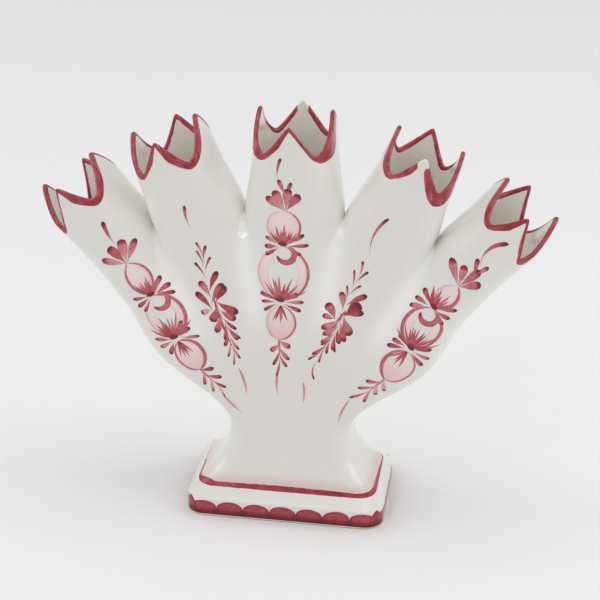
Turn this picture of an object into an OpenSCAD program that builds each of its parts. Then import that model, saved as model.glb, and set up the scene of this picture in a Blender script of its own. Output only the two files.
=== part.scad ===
// Quintal vase: five open fingers fanned out from a waisted trunk on a stepped plinth.
// Millimetres, +Z up, front towards -Y, origin at the bottom centre of the plinth.
// The pieces are the thrown and pressed clay parts that a potter lutes together before firing.

/* [Plinth] */
// Width of the foot
base_width = 85; // [80:0.5:96]
// Depth of the foot, front to back
base_depth = 54; // [48:0.5:62]
// Corner radius of the foot
base_corner = 8; // [4:0.5:10]
// Height of the upright painted face
face_height = 8.5; // [6:0.5:10]
// Rounding of the foot's lower and upper edges
foot_round = 0.8; // [0.4:0.1:1.5]
// Height of the step line, where the trunk stands
step_height = 12.2; // [11:0.1:14]
// Width of the step line
step_width = 77.6; // [70:0.2:80]
// Depth of the step line
step_depth = 43.2; // [38:0.2:46]
// Corner radius of the step line
step_corner = 8; // [4:0.5:9]

/* [Slab] */
// Thickness of the slab that closes the foot
slab_thickness = 4; // [3:0.5:6]
// Slip-filled clearance all round the slab
slab_clearance = 0.1; // [0.05:0.05:0.3]

/* [Trunk] */
// Height of the waist, the narrowest place
waist_height = 37.5; // [33:0.5:40]
// Width of the waist
waist_width = 52; // [48:0.2:58]
// Depth of the waist
waist_depth = 32; // [28:0.5:36]
// Corner radius of the waist
waist_corner = 9; // [6:0.5:12]
// How hollow the cove below the waist is, 1 being a straight slope
cove_power = 2.4; // [1.6:0.1:3]
// How strongly the waist holds upright as it turns out
waist_run = 26; // [14:1:32]
// How strongly the fan's slope reaches down into that turn
fan_run = 15; // [10:1:24]

/* [Fan] */
// Height of the point where the finger axes meet
fan_height = 15; // [10:0.5:18]
// Lean of the two inner fingers from upright, in degrees
inner_lean = 19.8; // [18.5:0.1:21]
// Lean of the two outer fingers from upright, in degrees
outer_lean = 36.6; // [35:0.1:39]
// Distance from the fan point to the seat of the fingers
seat_reach = 62; // [58:1:68]
// Distance from the fan point at which the grooves between the fingers begin
groove_reach = 48; // [40:1:55]
// Distance to the two crotches beside the centre finger
inner_crotch = 117; // [108:1:122]
// Distance to the two outer crotches
outer_crotch = 122; // [112:1:126]
// Distance to the valleys of the crowns
valley_reach = 146; // [138:1:156]

/* [Fingers] */
// Wall thickness of fingers, trunk and plinth
wall = 3.2; // [2.4:0.2:4]
// Depth of the fingers at their seat
seat_depth = 36; // [32:0.5:38]
// Depth of the fingers at their fullest
belly_depth = 40; // [37:0.5:43]
// Distance from the fan point to the fullest place
belly_reach = 104; // [90:1:115]
// Half width of an outer finger's free side at its seat
free_seat_half = 12.8; // [11:0.2:14]
// Half width of that side where the flank is fullest
flank_half = 16.4; // [14.4:0.2:18]
// Distance from the fan point to that fullest place
flank_reach = 78; // [73:1:86]
// Half width of that side at the neck below the mouth
neck_half = 12.8; // [11:0.2:14]
// Distance from the fan point to the neck
neck_reach = 104; // [96:1:114]
// Width of the centre mouth at its valleys
centre_mouth_width = 33.8; // [30:0.2:36]
// Width of the two inner mouths
inner_mouth_width = 31.8; // [28:0.2:34]
// Width of the two outer mouths
outer_mouth_width = 30; // [27:0.2:33]
// Depth of every mouth at its valleys
mouth_depth = 39; // [36:0.4:42]
// Softness of the grooves between the fingers
groove_softness = 0.8; // [0.2:0.05:1]
// How long the fingers stay merged before the grooves open, 2 being an even opening
groove_hold = 3; // [2:0.25:6]
// Squareness of the fingers at the crotch, 2 being an ellipse
round_power = 2.2; // [2:0.1:2.6]
// Squareness of the mouths
mouth_power = 3; // [2.4:0.1:3.4]

/* [Crowns] */
// Height of the two side points over the valleys
side_peak = 14.3; // [10:0.1:17]
// Height of the front and back points over the valleys
face_peak = 12; // [8:0.1:15]
// How much lower the valleys on the free sides of the outer fingers lie
free_valley_drop = 4; // [0:0.5:6]
// How far the side points lean in
side_lean = 1.3; // [0:0.1:2.5]
// How far the front and back points flare out
face_flare = 0.8; // [0:0.1:2.5]
// Direction of the valleys seen down the mouth, in degrees from the side points
valley_angle = 53; // [46:1:58]
// Sharpness of the points, 1 being a plain zigzag
point_sharpness = 0.94; // [0.6:0.02:0.98]
// Length of finger below the valleys over which the crown is drawn up
crown_draw = 17; // [12:1:20]
// Wall thickness at the rim, to which the crowns are thinned
rim_wall = 1.8; // [1.4:0.1:3]
// Rounding of the rim over its two edges
lip_round = 1; // [0.5:0.1:1.5]

/* [Hidden] */

GLAZE = [0.93, 0.92, 0.89];
BISCUIT = [0.80, 0.74, 0.64];

// Facet counts: around a quarter of a finger, up the fingers and trunk, and round a corner
SIDE_STEPS = 4;
FACE_STEPS = 5;
QUARTER_STEPS = SIDE_STEPS + FACE_STEPS;
BODY_STEPS = 8;
INNER_BODY_STEPS = 5;
CROWN_STEPS = 3;
COVE_STEPS = 5;
INNER_COVE_STEPS = 2;
TURN_STEPS = 6;
INNER_TURN_STEPS = 3;
CORNER_STEPS = 7;
// How much closer together the sections get towards the crotches, 1 being even
BODY_CROWDING = 1.6;
// Smallest direction kept for the corner of a finger's section, in degrees
LEAST_CORNER = 14;
// Least length of free finger between the crotches and the crowns
LEAST_NECK = 1;
// Length of finger over which the fan's slope at the seat is read
SLOPE_SPAN = 1;
// Passes of halving that find where a direction meets a section
HALVINGS = 22;

LEANS = [-outer_lean, -inner_lean, 0, inner_lean, outer_lean];
CROTCHES = [outer_crotch, inner_crotch, inner_crotch, outer_crotch];
MOUTHS = [outer_mouth_width, inner_mouth_width, centre_mouth_width, inner_mouth_width, outer_mouth_width];
LAST = len(LEANS) - 1;
low_crotch = min(inner_crotch, outer_crotch);
high_crotch = max(inner_crotch, outer_crotch);
crown_base = max(valley_reach - crown_draw, high_crotch + LEAST_NECK);

function mix(a, b, t) = a + (b - a) * t;
function ease(a, b, x) = let (t = max(0, min(1, (x - a) / (b - a)))) t * t * (3 - 2 * t);

// A place on a finger: reach along its axis, s across it and y from front to back
function fan_point(lean, reach, s, y) = [
    reach * sin(lean) + s * cos(lean),
    y,
    fan_height + reach * cos(lean) - s * sin(lean)
];

// Neighbours, the half angle to them and the crotch between; side is -1 on the left and 1 on the right
function has_neighbour(k, side) = k + side >= 0 && k + side <= LAST;
function half_gap(k, side) = abs(LEANS[k + side] - LEANS[k]) / 2;
function crotch(k, side) = CROTCHES[min(k, k + side)];

// The free side of an outer finger: out to the flank, in to the neck and out again to the mouth
function free_half(reach, mouth) =
    reach < flank_reach
    ? mix(free_seat_half, flank_half, sin(90 * (reach - seat_reach) / (flank_reach - seat_reach)))
    : reach < neck_reach ? mix(flank_half, neck_half, ease(flank_reach, neck_reach, reach))
    : mix(neck_half, mouth, pow(min(1, (reach - neck_reach) / (valley_reach - neck_reach)), 2));

// Half sizes of a finger at a reach
function side_half(k, side, reach) =
    let (mouth = MOUTHS[k] / 2, lean_in = side_lean * max(0, reach - valley_reach) / side_peak)
    !has_neighbour(k, side) ? free_half(reach, mouth) - lean_in
    : let (fork = crotch(k, side), slope = tan(half_gap(k, side)))
      reach < fork ? reach * slope
      : mix(fork * slope, mouth, ease(fork, valley_reach, reach)) - lean_in;
function half_depth(reach) =
    mix(mix(seat_depth, belly_depth, ease(seat_reach, belly_reach, reach)), mouth_depth,
        ease(belly_reach, valley_reach, reach)) / 2
    + face_flare * max(0, reach - valley_reach) / face_peak;

// Where two tubes cut each other, as a share of their depth: all of it low down, none at the crotch
function groove(k, side, reach) =
    !has_neighbour(k, side) ? 0
    : let (t = (reach - groove_reach) / (crotch(k, side) - groove_reach))
      t <= 0 ? 1 : t >= 1 ? 0 : sqrt(1 - pow(t, groove_hold));
function squareness(reach) = mix(round_power, mouth_power, ease(low_crotch, valley_reach, reach));

// Depth of a section at q, its distance from the axis as a share of the half width: the tube itself
// and its neighbour's mirror image, run together with a soft groove
function tube(q, g, power) = pow(max(0, 1 - pow(q, power) * (1 - pow(g, power))), 1 / power);
function lobe(q, g, power) =
    let (
        own = tube(q, g, power), other = tube(2 - q, g, power),
        soft = 4 * groove_softness * g * (1 - g),
        near = soft > 0 ? max(0, soft - abs(own - other)) / soft : 0
    )
    max(own, other) + near * near * soft / 4;

// Where a direction from the axis meets the section, as shares of its half width and half depth
function halve(low, high, angle, g, power, passes) =
    let (q = (low + high) / 2)
    passes == 0 ? q
    : lobe(q, g, power) * cos(angle) > q * sin(angle)
      ? halve(q, high, angle, g, power, passes - 1)
      : halve(low, q, angle, g, power, passes - 1);
function section_hit(angle, g, power) =
    angle >= 90 ? [0, 1]
    : lobe(1, g, power) >= tan(angle) ? [1, tan(angle)]
    : let (q = halve(0, 1, angle, g, power, HALVINGS)) [q, lobe(q, g, power)];

// Direction of the section's corner: the groove's edge low down, the crown's valley at the mouth
function corner_angle(k, side, reach) =
    !has_neighbour(k, side) ? valley_angle
    : reach < crotch(k, side)
      ? max(LEAST_CORNER, atan(lobe(1, groove(k, side, reach), squareness(reach))))
    : mix(LEAST_CORNER, valley_angle, ease(crotch(k, side), valley_reach, reach));
function step_angle(k, side, j, reach) =
    let (corner = corner_angle(k, side, reach))
    j <= SIDE_STEPS ? corner * j / SIDE_STEPS : mix(corner, 90, (j - SIDE_STEPS) / FACE_STEPS);

// Height of the rim over its valleys: a zigzag with rounded points, u running from point to valley
function zigzag(u) = 0.5 + asin(point_sharpness * cos(180 * u)) / (2 * asin(point_sharpness));
function crown(k, side, j) =
    let (valley = has_neighbour(k, side) ? 0 : -free_valley_drop)
    j <= SIDE_STEPS ? mix(valley, side_peak, zigzag(j / SIDE_STEPS))
    : mix(valley, face_peak, zigzag((QUARTER_STEPS - j) / FACE_STEPS));

// One point of a finger's outline; lift says how much of the crown is drawn up there
function finger_point(k, side, face, j, reach, side_inset, face_inset, lift) =
    let (
        level = reach + lift * crown(k, side, j),
        hit = section_hit(step_angle(k, side, j, reach), groove(k, side, level), squareness(level))
    )
    fan_point(LEANS[k], level, side * hit[0] * (side_half(k, side, level) - side_inset),
              face * hit[1] * (half_depth(level) - face_inset));

// A finger's whole outline, anticlockwise seen down its mouth
function finger_loop(k, reach, inset, lift) = [
    for (j = [0 : QUARTER_STEPS - 1]) finger_point(k, 1, 1, j, reach, inset, inset, lift),
    for (j = [QUARTER_STEPS : -1 : 1]) finger_point(k, -1, 1, j, reach, inset, inset, lift),
    for (j = [0 : QUARTER_STEPS - 1]) finger_point(k, -1, -1, j, reach, inset, inset, lift),
    for (j = [QUARTER_STEPS : -1 : 1]) finger_point(k, 1, -1, j, reach, inset, inset, lift)
];

// The reaches at which a finger is drawn, closer together towards the crotches
function body_reaches(steps) = [
    for (i = [0 : steps]) mix(seat_reach, low_crotch, 1 - pow(1 - i / steps, BODY_CROWDING))
];
function crown_loops(k, base_inset, rim_inset) = [
    for (i = [0 : CROWN_STEPS]) let (t = i / CROWN_STEPS)
        finger_loop(k, mix(crown_base, valley_reach, t), mix(base_inset, rim_inset, t), t)
];
function shaft_loops(k, steps, inset) = [
    for (reach = body_reaches(steps)) finger_loop(k, reach, inset, 0),
    if (high_crotch > low_crotch) finger_loop(k, high_crotch, inset, 0)
];
function reversed(list) = [for (i = [len(list) - 1 : -1 : 0]) list[i]];

// The trunk's outline at the seat: the outer edges of all five fingers, right end, back, left end, front
function seat_chain(face, order) = [
    for (k = order) let (lead = face, trail = -face) each [
        for (j = [has_neighbour(k, lead) ? SIDE_STEPS + 1 : 0 : QUARTER_STEPS]) [k, lead, face, j],
        for (j = [QUARTER_STEPS - 1 : -1 : has_neighbour(k, trail) ? SIDE_STEPS : 1]) [k, trail, face, j]
    ]
];
SEAT = concat(seat_chain(1, [LAST : -1 : 0]), seat_chain(-1, [0 : LAST]));
function seat_loop(reach, inset) = [
    for (p = SEAT)
        finger_point(p[0], p[1], p[2], p[3], reach, has_neighbour(p[0], p[1]) ? 0 : inset, inset, 0)
];

// Where the direction [x, y] from the middle meets a rounded rectangle
function rectangle_hit(x, y, half_w, half_d, corner) =
    let (
        ax = abs(x), ay = abs(y), run = norm([x, y]),
        by_side = ax * half_d >= ay * half_w,
        plain = by_side ? [half_w, half_w * ay / ax] : [half_d * ax / ay, half_d],
        cx = half_w - corner, cy = half_d - corner,
        along = (cx * ax + cy * ay) / run,
        far = along + sqrt(max(0, along * along - cx * cx - cy * cy + corner * corner)),
        hit = plain[0] <= cx || plain[1] <= cy ? plain : [far * ax / run, far * ay / run]
    )
    [sign(x) * hit[0], sign(y) * hit[1]];

// Directions of the trunk's points, as shares of the seat's half width and half depth
SEAT_OUTER = seat_loop(seat_reach, 0);
seat_half_width = max([for (p = SEAT_OUTER) p[0]]);
SEAT_WAYS = [for (p = SEAT_OUTER) [p[0] / seat_half_width, 2 * p[1] / seat_depth]];

// The cove, from the step line (t = 0) up to the waist (t = 1)
function cove_loop(t, inset) =
    let (
        open = pow(1 - t, cove_power),
        half_w = mix(waist_width, step_width, open) / 2,
        half_d = mix(waist_depth, step_depth, open) / 2,
        corner = mix(waist_corner, step_corner, open),
        z = mix(step_height, waist_height, t)
    )
    [
        for (way = SEAT_WAYS)
            concat(rectangle_hit(way[0] * half_w, way[1] * half_d, half_w - inset, half_d - inset,
                                 corner - inset), z)
    ];

// The turn from the upright waist (t = 0) into the fan at the seat (t = 1)
function turn_loops(steps, inset) =
    let (
        low = cove_loop(1, inset),
        high = seat_loop(seat_reach, inset),
        past = seat_loop(seat_reach + SLOPE_SPAN, inset)
    )
    [
        for (i = [1 : steps]) let (t = i / steps, u = 1 - t) [
            for (j = [0 : len(low) - 1])
                u * u * (1 + 2 * t) * low[j] + t * t * (1 + 2 * u) * high[j]
                + t * u * (u * [0, 0, waist_run] - t * fan_run * (past[j] - high[j]) / SLOPE_SPAN)
        ]
    ];

// A closed skin over loops that follow each other, the last one joined to the first;
// each four-sided patch is split along its shorter diagonal
module skin(loops) {
    count = len(loops[0]);
    rows = len(loops);
    points = [for (loop = loops) each loop];
    polyhedron(points, [
        for (i = [0 : rows - 1], j = [0 : count - 1])
            let (
                next = (i + 1) % rows * count, beside = (j + 1) % count,
                a = i * count + j, b = next + j, c = next + beside, d = i * count + beside
            )
            each norm(points[a] - points[c]) <= norm(points[b] - points[d])
                ? [[a, b, c], [a, c, d]]
                : [[a, b, d], [b, c, d]]
    ]);
}

// A rounded rectangle as a list of corner arcs
function rectangle_loop(half_w, half_d, corner, z) = [
    for (turn = [0 : 3], i = [0 : CORNER_STEPS - 1])
        let (
            sx = turn == 0 || turn == 3 ? 1 : -1, sy = turn < 2 ? 1 : -1,
            angle = 90 * (turn + i / (CORNER_STEPS - 1))
        )
        [sx * (half_w - corner) + corner * cos(angle), sy * (half_d - corner) + corner * sin(angle), z]
];
function base_loop(inset, z) =
    rectangle_loop(base_width / 2 - inset, base_depth / 2 - inset, base_corner - inset, z);
function step_loop(inset, z) =
    rectangle_loop(step_width / 2 - inset, step_depth / 2 - inset, step_corner - inset, z);

module base_slab() {
    gap = wall + slab_clearance;
    color(BISCUIT) linear_extrude(slab_thickness)
        polygon([for (p = step_loop(gap, 0)) [p[0], p[1]]]);
}

module plinth() {
    color(GLAZE) skin([
        base_loop(foot_round, 0),
        base_loop(0, foot_round),
        base_loop(0, face_height - foot_round),
        base_loop(foot_round, face_height),
        step_loop(0, step_height),
        step_loop(wall, step_height),
        step_loop(wall, 0)
    ]);
}

module trunk() {
    color(GLAZE) skin(concat(
        [for (i = [0 : COVE_STEPS]) cove_loop(i / COVE_STEPS, 0)],
        turn_loops(TURN_STEPS, 0),
        reversed(turn_loops(INNER_TURN_STEPS, wall)),
        [for (i = [INNER_COVE_STEPS : -1 : 0]) cove_loop(i / INNER_COVE_STEPS, wall)]
    ));
}

module finger(k) {
    color(GLAZE) skin(concat(
        shaft_loops(k, BODY_STEPS, 0),
        crown_loops(k, 0, 0),
        [finger_loop(k, valley_reach + lip_round, rim_wall / 2, 1)],
        reversed(crown_loops(k, wall, rim_wall)),
        reversed(shaft_loops(k, INNER_BODY_STEPS, wall))
    ));
}

base_slab();
plinth();
trunk();
finger(0);  // finger_outer_left
finger(1);  // finger_inner_left
finger(2);  // finger_centre
finger(3);  // finger_inner_right
finger(4);  // finger_outer_right
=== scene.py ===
"""Looks of a quintal vase: five glazed fingers on a waisted trunk and a stepped plinth, brushed in crimson.

Sizes in the classes are millimetres, as in the part's source. Meshes are in metres.
"""

import logging
import math
from dataclasses import dataclass, field, replace
from enum import Enum

import bmesh
import bpy
import numpy as np
from bpy.types import ID, Material, Node, NodeSocket, NodeTree, Object
from mathutils import Matrix, Vector


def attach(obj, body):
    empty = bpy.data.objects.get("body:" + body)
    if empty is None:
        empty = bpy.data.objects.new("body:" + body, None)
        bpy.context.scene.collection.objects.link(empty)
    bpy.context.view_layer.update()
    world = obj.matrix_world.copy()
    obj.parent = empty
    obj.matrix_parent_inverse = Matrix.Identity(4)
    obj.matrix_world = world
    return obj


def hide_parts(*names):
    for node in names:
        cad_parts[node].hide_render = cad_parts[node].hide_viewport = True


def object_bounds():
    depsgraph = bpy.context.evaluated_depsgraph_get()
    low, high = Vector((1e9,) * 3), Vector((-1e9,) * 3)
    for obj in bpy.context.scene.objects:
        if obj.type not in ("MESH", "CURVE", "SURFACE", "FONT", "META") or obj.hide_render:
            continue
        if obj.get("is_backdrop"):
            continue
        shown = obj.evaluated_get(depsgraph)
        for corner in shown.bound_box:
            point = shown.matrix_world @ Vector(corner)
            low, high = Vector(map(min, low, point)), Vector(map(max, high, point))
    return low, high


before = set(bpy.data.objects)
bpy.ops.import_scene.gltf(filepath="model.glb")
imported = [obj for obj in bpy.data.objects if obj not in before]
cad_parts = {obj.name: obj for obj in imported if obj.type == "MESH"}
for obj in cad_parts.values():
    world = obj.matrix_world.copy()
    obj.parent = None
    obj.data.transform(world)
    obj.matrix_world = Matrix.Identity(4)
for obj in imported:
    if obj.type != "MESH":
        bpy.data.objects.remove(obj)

LOG = logging.getLogger("quintal_vase")
METRE = 0.001
# Slack for reaches that should be equal
NEAR = 1e-6
# Least divisor
TINY = 1e-12
# Quarters of a finger's outline
QUARTERS = 4
# Points that agree to a thousandth of a millimetre are one
WELD_STEPS = 1e3
# Depth in a painted band far away from it
UNPAINTED = -30.0
BODY = "root"
Array = np.ndarray
Point = tuple[float, float]
Span = tuple[Point, Point]
Place = tuple[float, float, float]
Colour = tuple[int, int, int]


def mix(a: Array | float, b: Array | float, t: Array | float) -> Array | float:
    """Value a share t of the way from a to b."""
    return a + (b - a) * t


def ease(low: float, high: float, x: Array | float) -> Array:
    """Smooth step from 0 at low to 1 at high."""
    t = np.clip((x - low) / (high - low), 0.0, 1.0)
    return t * t * (3.0 - 2.0 * t)


def linear(red: int, green: int, blue: int) -> tuple[float, float, float, float]:
    """Scene colour, with full alpha, of a display colour given in steps of 255."""
    steps = (red / 255.0, green / 255.0, blue / 255.0)
    return (*(c / 12.92 if c <= 0.04045 else ((c + 0.055) / 1.055) ** 2.4 for c in steps), 1.0)


def linked(name: str, data: ID) -> Object:
    """Put a new object in the scene.

    Args:
        name: its name.
        data: its mesh, light or camera.

    Returns:
        The object.
    """
    thing = bpy.data.objects.new(name, data)
    bpy.context.scene.collection.objects.link(thing)
    return thing


class Mark(Enum):
    """Names of the attributes that pieces carry for their finishes."""

    # Cream of pooled glaze, which also paints the warm shade down the insides
    POOL = "pool"
    # Painted light that whitens the glaze in the grooves and round the crotches
    GROOVE = "groove"
    BLUSH = "blush"
    BAND = "band"
    RUN = "run"
    BARE = "bare"
    PIGMENT = "pigment"
    STROKE = "stroke"


class Term:
    """A value in a node tree. Arithmetic on it adds the nodes that work it out."""

    def __init__(self, wiring: "Wiring", socket: NodeSocket) -> None:
        """Keep the tree and the socket that gives the value."""
        self.wiring = wiring
        self.socket = socket

    def math(self, operation: str, *others: "Term | float") -> "Term":
        """Result of a Math node on the value and further terms or numbers."""
        inputs = dict(enumerate((self, *others)))
        return self.wiring.term(self.wiring.result("ShaderNodeMath", inputs, operation=operation))

    def __add__(self, other: "Term | float") -> "Term":
        """Sum."""
        return self.math("ADD", other)

    def __sub__(self, other: "Term | float") -> "Term":
        """Difference."""
        return self.math("SUBTRACT", other)

    def __mul__(self, other: "Term | float") -> "Term":
        """Product."""
        return self.math("MULTIPLY", other)

    def __truediv__(self, other: "Term | float") -> "Term":
        """Quotient."""
        return self.math("DIVIDE", other)

    def flip(self) -> "Term":
        """One minus the value."""
        return self.math("MULTIPLY", -1.0) + 1.0

    def positive(self) -> "Term":
        """The value, but not below 0."""
        return self.math("MAXIMUM", 0.0)

    def clamp(self) -> "Term":
        """The value held between 0 and 1."""
        return self.positive().math("MINIMUM", 1.0)

    def ramp(self, low: "Term | float", high: "Term | float") -> "Term":
        """Smooth step of the value from 0 at low to 1 at high."""
        wiring, sockets = self.wiring, {"Value": self, "From Min": low, "From Max": high}
        return wiring.term(wiring.result("ShaderNodeMapRange", sockets, interpolation_type="SMOOTHSTEP"))


class Wiring:
    """A node tree being built, with short ways to add and join nodes."""

    # Places of a colour Mix node's factor and two colours
    MIX_SOCKETS = (0, 6, 7)

    def __init__(self, tree: NodeTree) -> None:
        """Keep the tree."""
        self.tree = tree

    @classmethod
    def group(cls, name: str, kind: str, inputs: dict[str, tuple], outputs: dict[str, str]) -> "Wiring":
        """Start a node group with named sockets.

        Args:
            name: the group's name.
            kind: tree type.
            inputs: for each input its socket type and, where it has one, its default.
            outputs: for each output its socket type.

        Returns:
            The wiring of the new group, with its input and output nodes in place.
        """
        wiring = cls(bpy.data.node_groups.new(name, kind))
        sockets = wiring.tree.interface
        for label, (socket_type, *default) in inputs.items():
            socket = sockets.new_socket(label, in_out="INPUT", socket_type=socket_type)
            if default:
                socket.default_value = default[0]
        for label, socket_type in outputs.items():
            sockets.new_socket(label, in_out="OUTPUT", socket_type=socket_type)
        wiring.inlet = wiring.add("NodeGroupInput")
        wiring.outlet = wiring.add("NodeGroupOutput")
        return wiring

    def add(self, kind: str, inputs: dict | None = None, **settings: object) -> Node:
        """Add a node.

        Args:
            kind: node type.
            inputs: values, terms or sockets for its inputs, by name or place.
            settings: properties of the node.

        Returns:
            The node.
        """
        node = self.tree.nodes.new(kind)
        for name, value in settings.items():
            setattr(node, name, value)
        for key, value in (inputs or {}).items():
            self.plug(value, node.inputs[key])
        return node

    def result(self, kind: str, inputs: dict | None = None, **settings: object) -> NodeSocket:
        """The first output of a node that is added."""
        return self.add(kind, inputs, **settings).outputs[0]

    def plug(self, value: object, socket: NodeSocket) -> None:
        """Link a term or socket to an input, or set it to a plain value.

        Args:
            value: what the input gets.
            socket: the input.
        """
        if isinstance(value, Term):
            value = value.socket
        if isinstance(value, NodeSocket):
            self.tree.links.new(value, socket)
        else:
            socket.default_value = value

    def give(self, name: str, value: object) -> None:
        """Set one of the group's own outputs."""
        self.plug(value, self.outlet.inputs[name])

    def term(self, socket: NodeSocket) -> Term:
        """The value of a socket."""
        return Term(self, socket)

    def given(self, name: str) -> Term:
        """One of the group's own inputs."""
        return Term(self, self.inlet.outputs[name])

    def parts(self, vector: object) -> list[Term]:
        """The three parts of a vector."""
        node = self.add("ShaderNodeSeparateXYZ", {0: vector})
        return [Term(self, socket) for socket in node.outputs]

    def vector(self, x: Term | float, y: Term | float, z: Term | float) -> NodeSocket:
        """A vector of three values."""
        return self.result("ShaderNodeCombineXYZ", {0: x, 1: y, 2: z})

    def noise(self, vector: object, scale: float, detail: float = 2.0, rough: float = 0.5) -> Term:
        """Noise about zero, from about -0.5 to 0.5, at a place, scale, detail and roughness."""
        sockets = {"Vector": vector, "Scale": scale, "Detail": detail, "Roughness": rough}
        return self.term(self.result("ShaderNodeTexNoise", sockets)) - 0.5

    def object_place(self) -> NodeSocket:
        """Place on the piece, in a material."""
        return self.add("ShaderNodeTexCoord").outputs["Object"]

    def mark(self, mark: Mark, output: str = "Fac") -> Term:
        """A mark that the piece carries, in a material."""
        return self.term(self.add("ShaderNodeAttribute", attribute_name=mark.value).outputs[output])

    def colour_mix(self, share: object, low: object, high: object) -> NodeSocket:
        """Colour a share of the way from low to high."""
        sockets = dict(zip(self.MIX_SOCKETS, (share, low, high)))
        return self.add("ShaderNodeMix", sockets, data_type="RGBA").outputs[2]


class SharedEffects:
    """Shader node groups that more than one finish uses."""

    # Loads of pigment and the display colours that they fire to
    STOPS = ((0.0, (246, 240, 236)), (0.15, (237, 208, 207)), (0.30, (216, 156, 161)),
             (0.45, (194, 100, 110)), (0.62, (172, 58, 71)), (0.80, (138, 30, 42)), (1.0, (92, 15, 25)))
    # Scale and detail of the clouding, detail and roughness of the grain
    CLOUD_NOISE = (28.0, 3.0)
    GRAIN_NOISE = (4.0, 0.6)
    CLOUD_HEIGHT = 1.5
    GRAIN_TINT = 0.6

    def __init__(self) -> None:
        """Build the groups once."""
        self.pigment = self._pigment()
        self.fired = self._fired()

    def _pigment(self) -> NodeTree:
        """Group that turns the load of brushed pigment into its fired colour.

        Returns:
            The group, from Load to Colour.
        """
        wiring = Wiring.group("pigment_colour", "ShaderNodeTree", {"Load": ("NodeSocketFloat", 0.5)},
                              {"Colour": "NodeSocketColor"})
        node = wiring.add("ShaderNodeValToRGB", {0: wiring.given("Load")})
        elements = node.color_ramp.elements
        while len(elements) < len(self.STOPS):
            elements.new(0.5)
        for element, (place, colour) in zip(elements, self.STOPS):
            element.position = place
            element.color = linear(*colour)
        wiring.give("Colour", node.outputs["Color"])
        return wiring.tree

    def _fired(self) -> NodeTree:
        """Group with the unevenness of a fired surface: a tint, a roughness and a height.

        Returns:
            The group, from Grain, Gloss and Sway to Tint, Roughness and Height.
        """
        defaults = {"Grain": 60.0, "Gloss": 0.15, "Sway": 0.05}
        inputs = {name: ("NodeSocketFloat", value) for name, value in defaults.items()}
        outputs = dict.fromkeys(("Tint", "Roughness", "Height"), "NodeSocketFloat")
        wiring = Wiring.group("fired_surface", "ShaderNodeTree", inputs, outputs)
        place = wiring.object_place()
        cloud = wiring.noise(place, *self.CLOUD_NOISE)
        grain = wiring.noise(place, wiring.given("Grain"), *self.GRAIN_NOISE)
        sway = wiring.given("Sway")
        wiring.give("Tint", cloud + grain * self.GRAIN_TINT + 0.5)
        wiring.give("Roughness", wiring.given("Gloss") + cloud * sway + grain * sway)
        wiring.give("Height", cloud * self.CLOUD_HEIGHT + grain)
        return wiring.tree


class Finish:
    """A material under construction, ending in one Principled shader."""

    def __init__(self, name: str) -> None:
        """Start an empty material.

        Args:
            name: its name.
        """
        self.material = bpy.data.materials.new(name)
        self.material.use_nodes = True
        self.wiring = Wiring(self.material.node_tree)
        self.wiring.tree.nodes.clear()
        self.shader = self.wiring.add("ShaderNodeBsdfPrincipled")
        self.wiring.add("ShaderNodeOutputMaterial", {"Surface": self.shader.outputs[0]})

    def group(self, tree: NodeTree, inputs: dict) -> Node:
        """Place a shared node group with its inputs."""
        return self.wiring.add("ShaderNodeGroup", inputs, node_tree=tree)

    def feed(self, **inputs: object) -> None:
        """Feed the shader. Underscores in the names stand for spaces."""
        for name, value in inputs.items():
            self.wiring.plug(value, self.shader.inputs[name.replace("_", " ")])

    def surface(self, colour: object, roughness: object, height: object, depth: float) -> None:
        """Feed the shader a colour, a roughness and a bump from a height and its depth in metres."""
        bump = self.wiring.result("ShaderNodeBump", {"Strength": 1.0, "Distance": depth, "Height": height})
        self.feed(Base_Color=colour, Roughness=roughness, Normal=bump)


@dataclass(frozen=True)
class FiredFinish:
    """What fired finishes share: roughness and its sway, grain, depth of the bump, detail of clouding."""

    gloss: float = 0.16
    sway: float = 0.06
    grain: float = 170.0
    bump: float = 0.00006
    cloud_detail: float = 3.0

    def start(self, name: str, shared: SharedEffects) -> tuple[Finish, Node]:
        """A new material of that name, and its node that gives the fired unevenness."""
        finish, values = Finish(name), {"Grain": self.grain, "Gloss": self.gloss, "Sway": self.sway}
        return finish, finish.group(shared.fired, values)


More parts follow.
